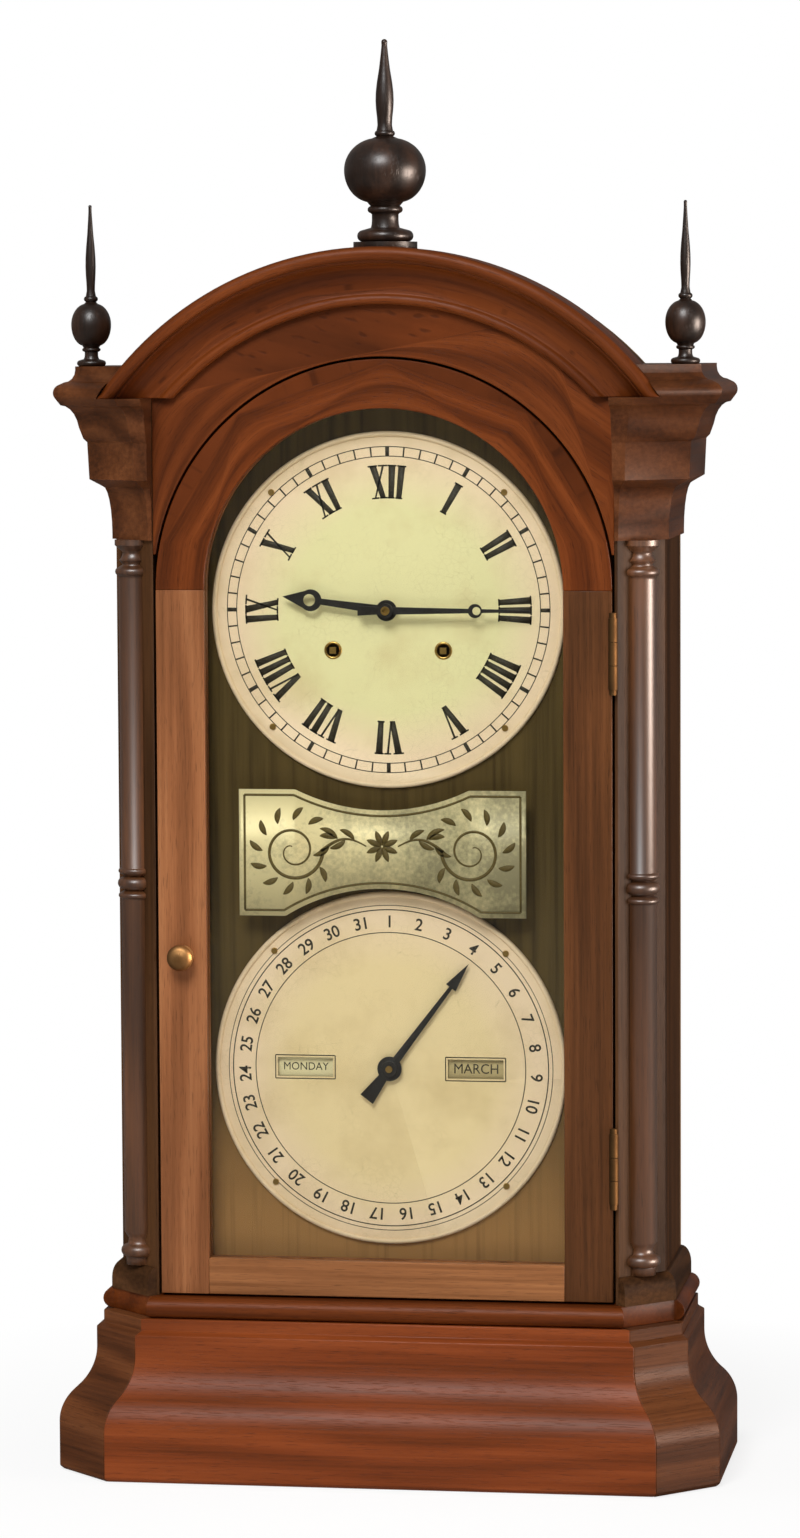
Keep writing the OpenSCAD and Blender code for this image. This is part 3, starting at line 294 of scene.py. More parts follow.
@dataclass(frozen=True)
class Metal:
    """A metal with handling marks: cloudy tarnish and fine scratches."""

    name: str
    clean: Colour
    tarnish: Colour
    roughness: float
    metallic: float = 1.0
    worn: float = 0.6

    def material(self) -> Material:
        """Two scales of cloud set the tarnish, and drawn scratches the roughness and bump.

        Returns:
            The material.
        """
        n = Nodes(self.name)
        place = n.place()
        cloud = n.noise(place, 95.0, 4.0, 0.6)
        spots = n.noise(place, 620.0, 3.0)
        colour = n.mix(n.spread(cloud, 0.4, 0.72, 0.0, self.worn), self.clean, self.tarnish)
        colour = n.mix(n.spread(spots, 0.6, 0.75, 0.0, 0.5 * self.worn), colour, self.tarnish)
        scratch = n.drawn(place, (2600.0, 2600.0, 160.0), 2.0)
        rough = n.math("MULTIPLY_ADD", cloud, 0.2, n.math("MULTIPLY_ADD", scratch, 0.1, self.roughness - 0.15))
        return n.principled(
            Base_Color=colour, Roughness=rough, Metallic=self.metallic, Normal=n.bump(scratch, 0.00004, 0.35),
        )


@dataclass(frozen=True)
class DialPaint:
    """Aged dial paint: cream at the middle, pinker at the rim, with stains and hairline cracks."""

    name: str
    centre: Place
    radius: float
    middle: Colour = srgb(232, 223, 172)
    edge: Colour = srgb(243, 216, 184)
    stain: Colour = srgb(200, 172, 122)

    def material(self) -> Material:
        """Colour by distance from the dial's centre, mottled by noise and lined by cell edges.

        Returns:
            The material.
        """
        n = Nodes(self.name)
        place = n.place()
        centred = n.add("Mapping", Vector=place, Location=tuple(-c for c in self.centre)).outputs[0]
        out = n.math("DIVIDE", n.length(n.vector("MULTIPLY", centred, (1.0, 0.0, 1.0))), self.radius)
        uneven = n.math("MULTIPLY_ADD", n.noise(place, 9.0, 2.0), 0.3, n.math("SUBTRACT", out, 0.15))
        colour = n.ramp(uneven, (0.0, self.middle), (0.6, self.middle), (0.88, self.edge))
        cloud = n.noise(place, 26.0, 5.0, 0.6)
        colour = n.mix(n.spread(cloud, 0.48, 0.78, 0.0, 0.5), colour, self.stain)
        rim = n.spread(out, 0.93, 1.02, 0.0, 0.35)
        colour = n.mix(n.math("MULTIPLY", rim, n.noise(place, 60.0, 3.0)), colour, scaled(self.stain, 0.7))
        cells = n.add("TexVoronoi", {"feature": "DISTANCE_TO_EDGE"}, Vector=place, Scale=240.0)
        crack = n.spread(cells.outputs["Distance"], 0.0, 0.03, 1.0, 0.0)
        crack = n.math("MULTIPLY", crack, n.spread(n.noise(place, 40.0, 2.0), 0.45, 0.6, 0.0, 0.28))
        colour = n.mix(crack, colour, scaled(self.stain, 0.6))
        rough = n.math("MULTIPLY_ADD", cloud, 0.2, 0.4)
        return n.principled(
            Base_Color=colour, Roughness=rough, Specular_IOR_Level=0.3, Normal=n.bump(crack, 0.00005, 0.4),
        )


@dataclass(frozen=True)
class StainedBoard:
    """The board behind the glass: tan wood, with painted shade that darkens it above a low height."""

    name: str = "stained_board"
    # Dark and middle are the painted shade on the upper board; tan is its wood where it is lit.
    dark: Colour = srgb(64, 50, 24)
    middle: Colour = srgb(98, 79, 42)
    tan: Colour = srgb(172, 126, 76)
    painted_shade_start: float = 0.16
    painted_shade_full: float = 0.27

    def material(self) -> Material:
        """Streaks along the grain, in painted shade above a height that noise makes uneven and tan below it.

        Returns:
            The material.
        """
        n = Nodes(self.name)
        place = n.place()
        streaks = n.drawn(place, (240.0, 240.0, 6.0), 4.0, 0.6)
        cloud = n.noise(place, 14.0, 4.0, 0.6)
        colour = n.ramp(streaks, (0.3, self.dark), (0.7, self.middle))
        height = n.math("MULTIPLY_ADD", cloud, 0.05, n.add("SeparateXYZ", Vector=place).outputs[2])
        # Painted shade: tan below this height, the darker streaked colour above it.
        colour = n.mix(n.spread(height, self.painted_shade_start, self.painted_shade_full, 0.85, 0.0), colour, self.tan)
        colour = n.mix(n.spread(streaks, 0.5, 0.7, 0.0, 0.3), colour, self.dark)
        rough = n.math("MULTIPLY_ADD", cloud, 0.2, 0.55)
        return n.principled(
            Base_Color=colour, Roughness=rough, Specular_IOR_Level=0.12, Normal=n.bump(streaks, 0.00003, 0.3),
        )


@dataclass(frozen=True)
class Ink:
    """Printed ink, card or thin paint, slightly worn."""

    name: str
    tone: Colour
    faded: Colour
    roughness: float = 0.55
    wear: float = 0.7

    def material(self) -> Material:
        """The tone with fine faded specks.

        Returns:
            The material.
        """
        n = Nodes(self.name)
        place = n.place()
        specks = n.noise(place, 900.0, 4.0, 0.7)
        colour = n.mix(n.spread(specks, 0.55, 0.8, 0.0, self.wear), self.tone, self.faded)
        return n.principled(
            Base_Color=colour, Roughness=self.roughness, Specular_IOR_Level=0.3, Normal=n.bump(specks, 0.00002, 0.3),
        )


@dataclass(frozen=True)
class Gilding:
    """Bronze powder laid on the back of the glass: pale gold with cloudy and rubbed places."""

    name: str = "gilding"
    pale: Colour = srgb(230, 214, 166)
    dull: Colour = srgb(158, 148, 114)

    def material(self) -> Material:
        """Clouds at two scales between the pale and the dull gold, with painted light that makes it paler towards the
        left and darker towards the right.

        Returns:
            The material.
        """
        n = Nodes(self.name)
        place = n.place()
        cloud = n.noise(place, 30.0, 4.0, 0.6)
        fine = n.noise(place, 480.0, 3.0, 0.6)
        tone = n.math("MULTIPLY_ADD", fine, 0.4, n.math("MULTIPLY", cloud, 0.6))
        # Painted light: the gold is lighter towards the left and darker towards the right.
        side = n.spread(n.add("SeparateXYZ", Vector=place).outputs[0], -0.06, 0.07, 0.14, -0.14)
        colour = n.ramp(n.math("ADD", tone, side), (0.34, self.dull), (0.62, self.pale))
        rough = n.math("MULTIPLY_ADD", fine, 0.2, 0.38)
        return n.principled(Base_Color=colour, Roughness=rough, Metallic=0.2, Normal=n.bump(fine, 0.00003, 0.5))


@dataclass(frozen=True)
class WindowGlass:
    """Thin old glass: clear, with a reflection that grows towards grazing angles."""

    name: str = "old_glass"

    def material(self) -> Material:
        """A clear film mixed with a gloss by Fresnel, with faint waves in the surface.

        Returns:
            The material.
        """
        n = Nodes(self.name)
        place = n.place()
        wave = n.drawn(place, (9.0, 9.0, 5.0), 1.0)
        normal = n.bump(wave, 0.0012, 0.25)
        clear = n.add("BsdfTransparent", Color=(0.97, 0.98, 0.96))
        gloss = n.add("BsdfGlossy", Roughness=0.03, Normal=normal, Color=(0.9, 0.92, 0.92))
        share = n.math("MULTIPLY", n.add("Fresnel", IOR=1.45, Normal=normal).outputs[0], 0.6)
        return n.blend(share, clear, gloss)


@dataclass(frozen=True)
class Finishes:
    """The clock's finishes, each made once."""

    stile: Material
    shaded: Material
    rail: Material
    arch: Material
    base: Material
    cant: Material
    side: Material
    ebony: Material
    column: Material
    post: Material
    inside: Material
    board: Material
    brass: Material
    old_brass: Material
    hinge_brass: Material
    blued: Material
    steel: Material
    iron: Material
    gilt: Material
    line: Material
    ink: Material
    card: Material
    old_card: Material
    glass: Material

    @classmethod
    def make(cls) -> "Finishes":
        """Builds every finish.

        Returns:
            The finishes.
        """
        finishes = {
            "stile": Wood("walnut_stile", srgb(104, 62, 34), srgb(136, 84, 50), srgb(158, 104, 66)),
            # Painted shade: a darker copy of the stile's walnut, for the right stile.
            "shaded": Wood("walnut_shaded", srgb(66, 38, 17), srgb(92, 54, 26), srgb(114, 70, 37)),
            "rail": Wood("walnut_rail", srgb(116, 72, 40), srgb(150, 98, 59), srgb(172, 119, 76)),
            "arch": Wood("walnut_arch", srgb(66, 29, 7), srgb(92, 42, 12), srgb(112, 55, 20), gloss=0.08),
            "base": Wood("walnut_base", srgb(88, 40, 12), srgb(116, 53, 19), srgb(136, 66, 28), gloss=0.14),
            # Painted shade: a darker copy of the walnut, for the capitals and the base's corner and side runs.
            "cant": Wood("walnut_cant", srgb(58, 31, 15), srgb(85, 47, 24), srgb(106, 62, 34), gloss=0.06),
            # Painted shade: a darker copy of the walnut, for the side panels, the roof board and the base's back rail
            # and feet.
            "side": Wood("walnut_side", srgb(44, 27, 14), srgb(66, 42, 24), srgb(86, 56, 33), 0.5, 0.02, 0.0),
            "ebony": Wood("dark_walnut", srgb(22, 13, 8), srgb(38, 23, 14), srgb(58, 36, 23), 0.36, 0.4, 0.15),
            # Painted shade: a dark copy of the walnut for the columns, under a strong polish.
            "column": Wood("walnut_column", srgb(56, 31, 13), srgb(84, 49, 22), srgb(108, 64, 33), 0.4, 0.1, 1.0, 1.7),
            # Painted shade: a dark copy of the walnut for the corner posts.
            "post": Wood("walnut_post", srgb(46, 28, 14), srgb(68, 43, 24), srgb(88, 57, 33), 0.45, 0.04, 0.05),
            "inside": Wood("bare_wood", srgb(88, 64, 38), srgb(124, 94, 58), srgb(150, 118, 78), 0.6, 0.2, 0.0),
            "board": StainedBoard(),
            "brass": Metal("brass", srgb(206, 168, 96), srgb(128, 94, 48), 0.34),
            "blued": Metal("blued_steel", srgb(62, 60, 60), srgb(38, 32, 26), 0.4, 0.7),
            "old_brass": Metal("old_brass", srgb(164, 122, 76), srgb(108, 74, 45), 0.52),
            "hinge_brass": Metal("hinge_brass", srgb(98, 72, 44), srgb(68, 48, 30), 0.62),
            "steel": Metal("steel", srgb(176, 176, 178), srgb(112, 100, 88), 0.36),
            "iron": Metal("black_iron", srgb(36, 34, 33), srgb(58, 40, 30), 0.6, 0.5),
            "gilt": Gilding(),
            "line": Ink("brown_line", srgb(92, 76, 34), srgb(150, 130, 80)),
            "ink": Ink("black_paint", srgb(54, 49, 40), srgb(122, 110, 80)),
            "card": Ink("roller_card", srgb(226, 214, 172), srgb(196, 176, 128), 0.7),
            "old_card": Ink("old_card", srgb(186, 168, 124), srgb(146, 126, 86), 0.7),
            "glass": WindowGlass(),
        }
        return cls(**{name: finish.material() for name, finish in finishes.items()})


def points_of(mesh: bpy.types.Mesh) -> np.ndarray:
    """Reads a mesh's points.

    Args:
        mesh: the mesh.

    Returns:
        N by 3 array.
    """
    co = np.empty(len(mesh.vertices) * 3, np.float32)
    mesh.vertices.foreach_get("co", co)
    return co.reshape(-1, 3).astype(float)


def write_grain(piece: Piece, board: np.ndarray, seed: float) -> None:
    """Stores board coordinates as the grain attribute.

    Args:
        piece: the wooden piece.
        board: N by 3 array, the place along the grain first.
        seed: moves the grain, so that no two boards match.
    """
    moved = board + seed * np.array(SEED_STEP)
    layer = piece.data.attributes.get(GRAIN) or piece.data.attributes.new(GRAIN, "FLOAT_VECTOR", "POINT")
    layer.data.foreach_set("vector", moved.astype(np.float32).ravel())


def set_grain(piece: Piece, run: GrainRun, seed: float) -> None:
    """Writes the grain attribute from the piece's own points.

    For ROUND_ARCH the first number is the angle about the arch's middle times ARCH_RADIUS, and the second the
    distance from that middle. Otherwise it is the place along the grain, then the two places across it.

    Args:
        piece: the wooden piece.
        run: the way of its grain.
        seed: moves the grain.
    """
    co = points_of(piece.data)
    if run is GrainRun.ROUND_ARCH:
        x, z = co[:, 0] - ARCH_MIDDLE[0], co[:, 2] - ARCH_MIDDLE[1]
        board = np.stack([np.arctan2(x, z) * ARCH_RADIUS, np.hypot(x, z), co[:, 1]], 1)
    else:
        board = co[:, {GrainRun.ACROSS: (0, 2, 1), GrainRun.DEEP: (1, 2, 0), GrainRun.UPRIGHT: (2, 0, 1)}[run]]
    write_grain(piece, board, seed)


def settle(piece: Piece, body: str, finish: Material, sharp: float = 32.0) -> Piece:
    """Shades a piece, gives it its finish and lets it ride on its body.

    Args:
        piece: the piece.
        body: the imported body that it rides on.
        finish: its material.
        sharp: edges over this angle stay sharp, in degrees.

    Returns:
        The same piece.
    """
    piece.data.shade_smooth()
    piece.data.set_sharp_from_angle(angle=math.radians(sharp))
    piece.data.materials.clear()
    piece.data.materials.append(finish)
    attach(piece, body)
    LOG.info("%s rides on %s with %d faces", piece.name, body, len(piece.data.polygons))
    return piece


def new_piece(name: str, shape: Shape, body: str, finish: Material, sharp: float = 32.0) -> Piece:
    """Makes one piece of the clock from its points and faces.

    Args:
        name: the piece's name.
        shape: N by 3 points in metres, and lists of point numbers, outwards.
        body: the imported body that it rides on.
        finish: its material.
        sharp: edges over this angle stay sharp, in degrees.

    Returns:
        The new piece.
    """
    mesh = bpy.data.meshes.new(name)
    mesh.from_pydata(shape[0].tolist(), [], shape[1])
    mesh.update()
    return settle(stand(name, mesh), body, finish, sharp)


def round_edges(piece: Piece, width: float, angle: float = 40.0) -> None:
    """Rounds the arrises of a piece, so that they catch light.

    Args:
        piece: the piece.
        width: width of the rounding in millimetres.
        angle: arrises over this angle, in degrees.
    """
    bevel = piece.modifiers.new("edges", "BEVEL")
    bevel.width = width * MM
    bevel.segments = 2
    bevel.limit_method = "ANGLE"
    bevel.angle_limit = math.radians(angle)
    bevel.use_clamp_overlap = True


def thicken(piece: Piece, thick: float = 0.06) -> None:
    """Gives flat faces a thickness on the side that they face.

    Args:
        piece: the piece.
        thick: the thickness in millimetres.
    """
    shell = piece.modifiers.new("layer", "SOLIDIFY")
    shell.thickness = thick * MM
    shell.offset = 1.0


def dress(
    node: str, body: str, slot: str, finish: Material, run: GrainRun | None = None,
    edge: float = 0.0, seed: float = 0.0, sharp: float = 32.0, side: int = 0,
) -> Piece:
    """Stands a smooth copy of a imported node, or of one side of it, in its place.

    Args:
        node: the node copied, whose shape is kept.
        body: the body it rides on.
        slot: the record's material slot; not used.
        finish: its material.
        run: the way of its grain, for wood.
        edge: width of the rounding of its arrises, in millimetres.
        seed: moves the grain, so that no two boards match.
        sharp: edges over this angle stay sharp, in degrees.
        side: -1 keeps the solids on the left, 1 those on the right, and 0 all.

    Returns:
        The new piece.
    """
    mesh = frame["nodes"][node].data.copy()
    shape = bmesh.new()
    shape.from_mesh(mesh)
    bmesh.ops.delete(shape, geom=[v for v in shape.verts if v.co.x * side < 0], context="VERTS")
    bmesh.ops.remove_doubles(shape, verts=shape.verts, dist=WELD)
    bmesh.ops.dissolve_limit(shape, angle_limit=LEVEL, verts=shape.verts, edges=shape.edges)
    shape.to_mesh(mesh)
    shape.free()
    piece = stand(node + ("_dressed", "_right", "_left")[side], mesh)
    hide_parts(node)
    if edge:
        round_edges(piece, edge)
    settle(piece, body, finish, sharp)
    if run is not None:
        set_grain(piece, run, seed)
    return piece


def grid_faces(rows: int, columns: int, closed: bool = False) -> Faces:
    """Quads of a grid whose points are numbered row by row.

    A quad's normal is the way along the columns crossed with the way along the rows.

    Args:
        rows: number of rows.
        columns: points in a row.
        closed: whether each row joins up with its start.

    Returns:
        The faces.
    """
    row, column = np.meshgrid(np.arange(rows - 1), np.arange(columns if closed else columns - 1), indexing="ij")
    after = (column + 1) % columns
    corners = (row * columns + column, row * columns + after, (row + 1) * columns + after, (row + 1) * columns + column)
    return np.stack(corners, axis=-1).reshape(-1, 4).tolist()


def joined(shapes: list[Shape]) -> Shape:
    """Joins several shapes.

    Args:
        shapes: sets of points and faces.

    Returns:
        One set of points and faces.
    """
    starts = np.cumsum([0] + [len(points) for points, _ in shapes])
    faces = [[k + int(start) for k in face] for (_, part), start in zip(shapes, starts) for face in part]
    return np.vstack([points for points, _ in shapes]), faces


def circles(radius: np.ndarray, segments: int) -> tuple[np.ndarray, np.ndarray]:
    """The places r cos t and r sin t on circles about an axis, with a row for each radius."""
    turn = np.linspace(0, TURN, segments, endpoint=False)
    return radius[:, None] * np.cos(turn), radius[:, None] * np.sin(turn)


def turned(outline: np.ndarray, foot: Vector, segments: int = 96) -> Shape:
    """A turning about an upright axis.

    Each point of the outline (radius, height) goes round the axis: x = r cos t, y = r sin t. The first and the last
    point lie on the axis and close the turning with fans.

    Args:
        outline: N by 2 array from the foot to the tip, in metres.
        foot: the foot's middle.
        segments: points round the axis.

    Returns:
        Points and faces.
    """
    x, y = circles(outline[1:-1, 0], segments)
    rings = np.stack([x, y, outline[1:-1, 1:] + 0 * x], -1).reshape(-1, 3)
    ends = np.array([[0, 0, outline[0, 1]], [0, 0, outline[-1, 1]]])
    rows = len(outline) - 2
    low, high, top = rows * segments, rows * segments + 1, (rows - 1) * segments
    faces = grid_faces(rows, segments, closed=True)
    faces += [[low, (k + 1) % segments, k] for k in range(segments)]
    faces += [[high, top + k, top + (k + 1) % segments] for k in range(segments)]
    return np.vstack([rings, ends]) + np.array(foot), faces


def arc(centre: Pair, radius: float, start: float, end: float, steps: int) -> np.ndarray:
    """Points of an arc about a centre from one angle to another in degrees."""
    turn = np.radians(np.linspace(start, end, steps + 1))
    return np.stack([centre[0] + radius * np.cos(turn), centre[1] + radius * np.sin(turn)], 1)


def flat_piece(name: str, shape: Shape, y: float, body: str, finish: Material) -> Piece:
    """Lays flat shapes on a dial or a pane as a thin layer that faces the front.

    Args:
        name: the piece's name.
        shape: N by 2 points of x and z in metres, and faces, anticlockwise seen from the front.
        y: the surface that they lie on, in metres.
        body: the body that carries them.
        finish: their material.

    Returns:
        The new piece.
    """
    flat, faces = shape
    piece = new_piece(name, (np.stack([flat[:, 0], np.full(len(flat), y), flat[:, 1]], 1), faces), body, finish)
    thicken(piece)
    return piece


def strip(line: np.ndarray, width: np.ndarray | float) -> Shape:
    """A band along a flat line: each point moved half the width to both sides, at right angles to the line.

    Args:
        line: N by 2 array.
        width: one width, or one for each point.

    Returns:
        Flat points and faces, anticlockwise.
    """
    way = np.gradient(line, axis=0)
    way /= np.hypot(*way.T)[:, None]
    aside = np.stack([-way[:, 1], way[:, 0]], 1) * np.reshape(width, (-1, 1)) / 2
    return np.vstack([line - aside, line + aside]), grid_faces(2, len(line))


def flat_ring(centre: Pair, inner: float, outer: float, segments: int = 180) -> Shape:
    """A flat ring: points on two circles about a centre.

    Args:
        centre: the ring's centre.
        inner: its inner radius.
        outer: its outer radius.
        segments: points on each circle.

    Returns:
        Flat points and faces, anticlockwise.
    """
    x, z = circles(np.array([outer, inner]), segments)
    return np.stack([centre[0] + x, centre[1] + z], -1).reshape(-1, 2), grid_faces(2, segments, closed=True)


def words_flat(words: str, height: float, widest: float, heavy: float = 0.0) -> Shape:
    """Outlines of generic words or numbers as a flat mesh about the origin.

    Args:
        words: the words.
        height: height of the capitals in metres.
        widest: the words are narrowed to this width in metres.
        heavy: how far the strokes swell, as a share of the height.

    Returns:
        Flat points and faces, anticlockwise.
    """
    curve = bpy.data.curves.new("words", "FONT")
    curve.body, curve.size, curve.offset = words, 1.0, heavy
    curve.resolution_u = 4
    holder = stand("words", curve)
    mesh = bpy.data.meshes.new_from_object(holder.evaluated_get(bpy.context.evaluated_depsgraph_get()))
    flat = points_of(mesh)[:, :2]
    faces = [list(p.vertices) if p.normal.z > 0 else list(p.vertices)[::-1] for p in mesh.polygons]
    bpy.data.objects.remove(holder)
    low, high = flat.min(0), flat.max(0)
    flat = (flat - (low + high) / 2) * height / CAPITALS
    return flat * np.array([min(KEPT_WIDTH, widest / np.ptp(flat[:, 0])), 1.0]), faces


@dataclass(frozen=True)
class Lamp:
    """A soft rectangular lamp: its middle and its aim, its width and height in metres, and its power in watts."""

    name: str
    place: Place
    aim: Place
    size: Pair
    power: float
    colour: Colour = (1.0, 1.0, 1.0)
    on_matt: bool = True
    on_gloss: bool = True

    def hang(self) -> None:
        """Adds the lamp, turned to its aim, and says whether matt and glossy surfaces show it."""
        data = bpy.data.lights.new(self.name, "AREA")
        data.shape, data.size, data.size_y = "RECTANGLE", *self.size
        data.energy, data.color = self.power, self.colour
        lamp = stand(self.name, data)
        lamp.location = self.place
        lamp.rotation_euler = (Vector(self.aim) - Vector(self.place)).to_track_quat("-Z", "Y").to_euler()
        lamp.visible_diffuse, lamp.visible_glossy = self.on_matt, self.on_gloss


@dataclass
class Stage:
    """Pale floor, background, lamps and the camera of the photograph. Places are in metres, the roll in degrees.

    A broad key hangs in front and above. At the right are a low panel and a gleam that only polish shows, and at the
    left a weak fill that polish doesn't show.
    """

    eye: Place = (0.4548, -2.9653, 0.650)
    aim: Place = (0.0050, -0.0096, 0.4021)
    roll: float = -0.29
    lens: float = 123.6
    film: float = 36.0
    clip: Pair = (0.05, 60.0)
    lamps: tuple[Lamp, ...] = (
        Lamp("key", (-0.25, -2.4, 2.5), (0, 0, 0.42), (1.2, 1.2), 104.0),
        Lamp("panel", (2.2, -0.4, 0.4), (0, 0, 0.36), (0.9, 0.9), 24.0, (1.0, 0.84, 0.72)),
        Lamp("gleam", (2.2, -0.5, 0.36), (0, 0, 0.3), (1.1, 1.0), 85.0, (1.0, 0.8, 0.68), on_matt=False),
        Lamp("fill", (-2.2, -0.9, 0.5), (0, 0, 0.4), (0.9, 0.9), 12.0, on_gloss=False),
    )
    sky: Colour = (1.0, 0.99, 0.97)
    sky_strength: float = 0.2
    floor_reach: tuple[float, ...] = (0.4, 1.2, 3.0, 12.0)
    floor_z: float = -0.0004
    floor_steps: int = 96
    floor_white: Pair = (0.2, 0.5)
    floor_tone: Colour = (0.95, 0.95, 0.95)
    floor_mirrored: Colour = (0.2, 0.19, 0.18)

    def camera(self) -> None:
        """Places the camera at the eye, looking at the aim, rolled a little."""
        data = bpy.data.cameras.new("camera")
        data.lens, data.sensor_width = self.lens, self.film
        data.clip_start, data.clip_end = self.clip
        camera = stand("camera", data)
        look = (Vector(self.aim) - Vector(self.eye)).to_track_quat("-Z", "Y").to_matrix().to_4x4()
        roll = Matrix.Rotation(math.radians(self.roll), 4, "Z")
        camera.matrix_world = Matrix.Translation(Vector(self.eye)) @ look @ roll
        bpy.context.scene.camera = camera

    @staticmethod
    def seen(n: Nodes) -> tuple[Node, Socket]:
        """The Light Path node, and whether the camera sees a ray, straight or through the glass."""
        path = n.add("LightPath")
        return path, n.math("MAXIMUM", path.outputs["Is Camera Ray"], path.outputs["Is Transmission Ray"])

    def world(self) -> None:
        """White background for the camera and the glass, and a dimmer white that lights the clock."""
        n = Nodes("studio", world=True)
        light = n.add("Background", Color=self.sky, Strength=self.sky_strength)
        white = n.add("Background", Color=(1.0, 1.0, 1.0), Strength=1.0)
        bpy.context.scene.world = n.blend(self.seen(n)[1], light, white)

    def floor(self) -> None:
        """A wide disc under the clock that keeps its shadow near by and turns to white further out.

        Reflections of it are dim, so that they don't grey the polished columns.
        """
        count = self.floor_steps
        x, y = circles(np.array(self.floor_reach), count)
        rings = np.stack([x, y, 0 * x + self.floor_z], -1)
        faces = [face[::-1] for face in grid_faces(len(x), count, closed=True)] + [list(range(count))]
        mesh = bpy.data.meshes.new("floor")
        mesh.from_pydata(rings.reshape(-1, 3).tolist(), [], faces)
        n = Nodes("pale_floor")
        white = n.spread(n.length(n.place()), *self.floor_white, 0.8, 1.0)
        path, seen = self.seen(n)
        shade = n.mix(path.outputs["Is Glossy Ray"], self.floor_tone, self.floor_mirrored)
        near = n.add("BsdfDiffuse", Color=shade)
        glow = n.add("Emission", Color=(1.0, 1.0, 1.0), Strength=1.0)
        mesh.materials.append(n.blend(n.math("MULTIPLY", white, seen), near, glow))
        floor = stand("floor", mesh)

    def build(self) -> None:
        """Makes the whole stage."""
        bpy.context.scene.view_settings.view_transform = "Standard"
        self.camera()
        for lamp in self.lamps:
            lamp.hang()
        self.world()
        self.floor()


@dataclass
class Base:
    """The ogee base moulding in five mitred runs, with the boards inside it and on it. Sizes in millimetres.

    The flare is how far a front corner moves along the front for each millimetre of spread. An even mitre has 0.41,
    and the wider flare makes the corner runs narrow towards the foot.
    """

    finishes: Finishes
    body: str = "case"
    corner: float = 24.5
    wall: float = 8.0
    spread: float = 33.0
    low_radius: float = 24.0
    top_radius: float = 30.0
    low_height: float = 28.0
    turn: float = 50.0
    steps: int = 22
    toe: float = 2.0
    fillet: Pair = (9.0, 7.0)
    ledge: float = 10.0
    flare: float = 0.75

    def __post_init__(self) -> None:
        """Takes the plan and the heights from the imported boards."""
        self.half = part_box("side_panels")[1].x / MM
        self.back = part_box("base_return_mouldings")[1].y / MM
        self.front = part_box("base_front_moulding")[0].y / MM + self.spread
        self.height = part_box("base_front_moulding")[1].z / MM

    def profile(self) -> np.ndarray:
        """Outline of the ogee: plinth, round, hollow and fillet.

        Returns:
            N by 2 array of spread and height.
        """
        tilt = math.radians(self.turn)
        low = (self.spread - self.low_radius, self.low_height)
        reach = self.low_radius + self.top_radius
        top = (low[0] + reach * math.cos(tilt), low[1] + reach * math.sin(tilt))
        return np.vstack([
            [[-self.wall, 0], [self.spread - self.toe, 0], [self.spread, self.toe]],
            arc(low, self.low_radius, 0, self.turn, self.steps),
            arc(top, self.top_radius, 180 + self.turn, 180, self.steps)[1:],
            [[top[0] - self.top_radius, self.height - self.fillet[0]], [self.ledge, self.height - self.fillet[1]],
             [self.ledge, self.height], [-self.wall, self.height]],
        ])

    def run(self, start: tuple, end: tuple, start_lean: tuple, end_lean: tuple) -> tuple[Shape, np.ndarray]:
        """One straight run of the moulding.

        A point of the profile (spread s, height z) stands at the run's end plus s times that end's lean, the way a
        mitre leans in plan. Both ends are closed by the profile.

        Args:
            start: the run's first corner in plan.
            end: its last corner.
            start_lean: the first mitre's way per millimetre of spread.
            end_lean: the last mitre's way.

        Returns:
            The shape in metres, and its board coordinates.
        """
        profile = self.profile()
        s, z = profile[:, :1], profile[:, 1:]
        ends = ((start, start_lean), (end, end_lean))
        points = np.vstack([np.hstack([np.array(at) + s * np.array(lean), z]) for at, lean in ends]) * MM
        count = len(profile)
        faces = grid_faces(2, count, closed=True) + [list(range(count))[::-1], list(range(count, 2 * count))]
        way = np.array(end, float) - np.array(start, float)
        along = points[:, :2] @ (way / np.hypot(*way))
        return (points, faces), np.stack([along, points[:, 2], np.tile(s[:, 0] * MM, 2)], 1)

    def build(self) -> None:
        """Makes the five runs and dresses the boards."""
        f, c, w, lean = self.finishes, self.corner, self.half, self.flare
        corners = [(w, self.back), (w, self.front + c), (w - c, self.front)]
        corners += [(-x, y) for x, y in corners[::-1]]
        leans = [(1, 0), (1, -lean), (lean, -1)]
        leans += [(-x, y) for x, y in leans[::-1]]
        for index, name in enumerate(("right_side", "right_cant", "front", "left_cant", "left_side")):
            shape, board = self.run(corners[index], corners[index + 1], leans[index], leans[index + 1])
            # The corner and side runs take the darker walnut copy, as painted shade.
            finish = f.base if name == "front" else f.cant
            piece = new_piece(f"base_moulding_{name}", shape, self.body, finish)
            round_edges(piece, Edge.MOULDING)
            write_grain(piece, board, 1.0 + index)
            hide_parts("base_front_moulding" if name == "front" else "base_return_mouldings")
        boards = (
            ("base_board", f.inside, GrainRun.ACROSS), ("base_back_rail", f.side, GrainRun.ACROSS),
            ("deck_board", f.arch, GrainRun.ACROSS), ("foot_mouldings", f.side, GrainRun.DEEP),
        )
        for seed, (node, finish, run) in enumerate(boards, start=3):
            dress(node, self.body, "walnut", finish, run, Edge.BOARD, seed)


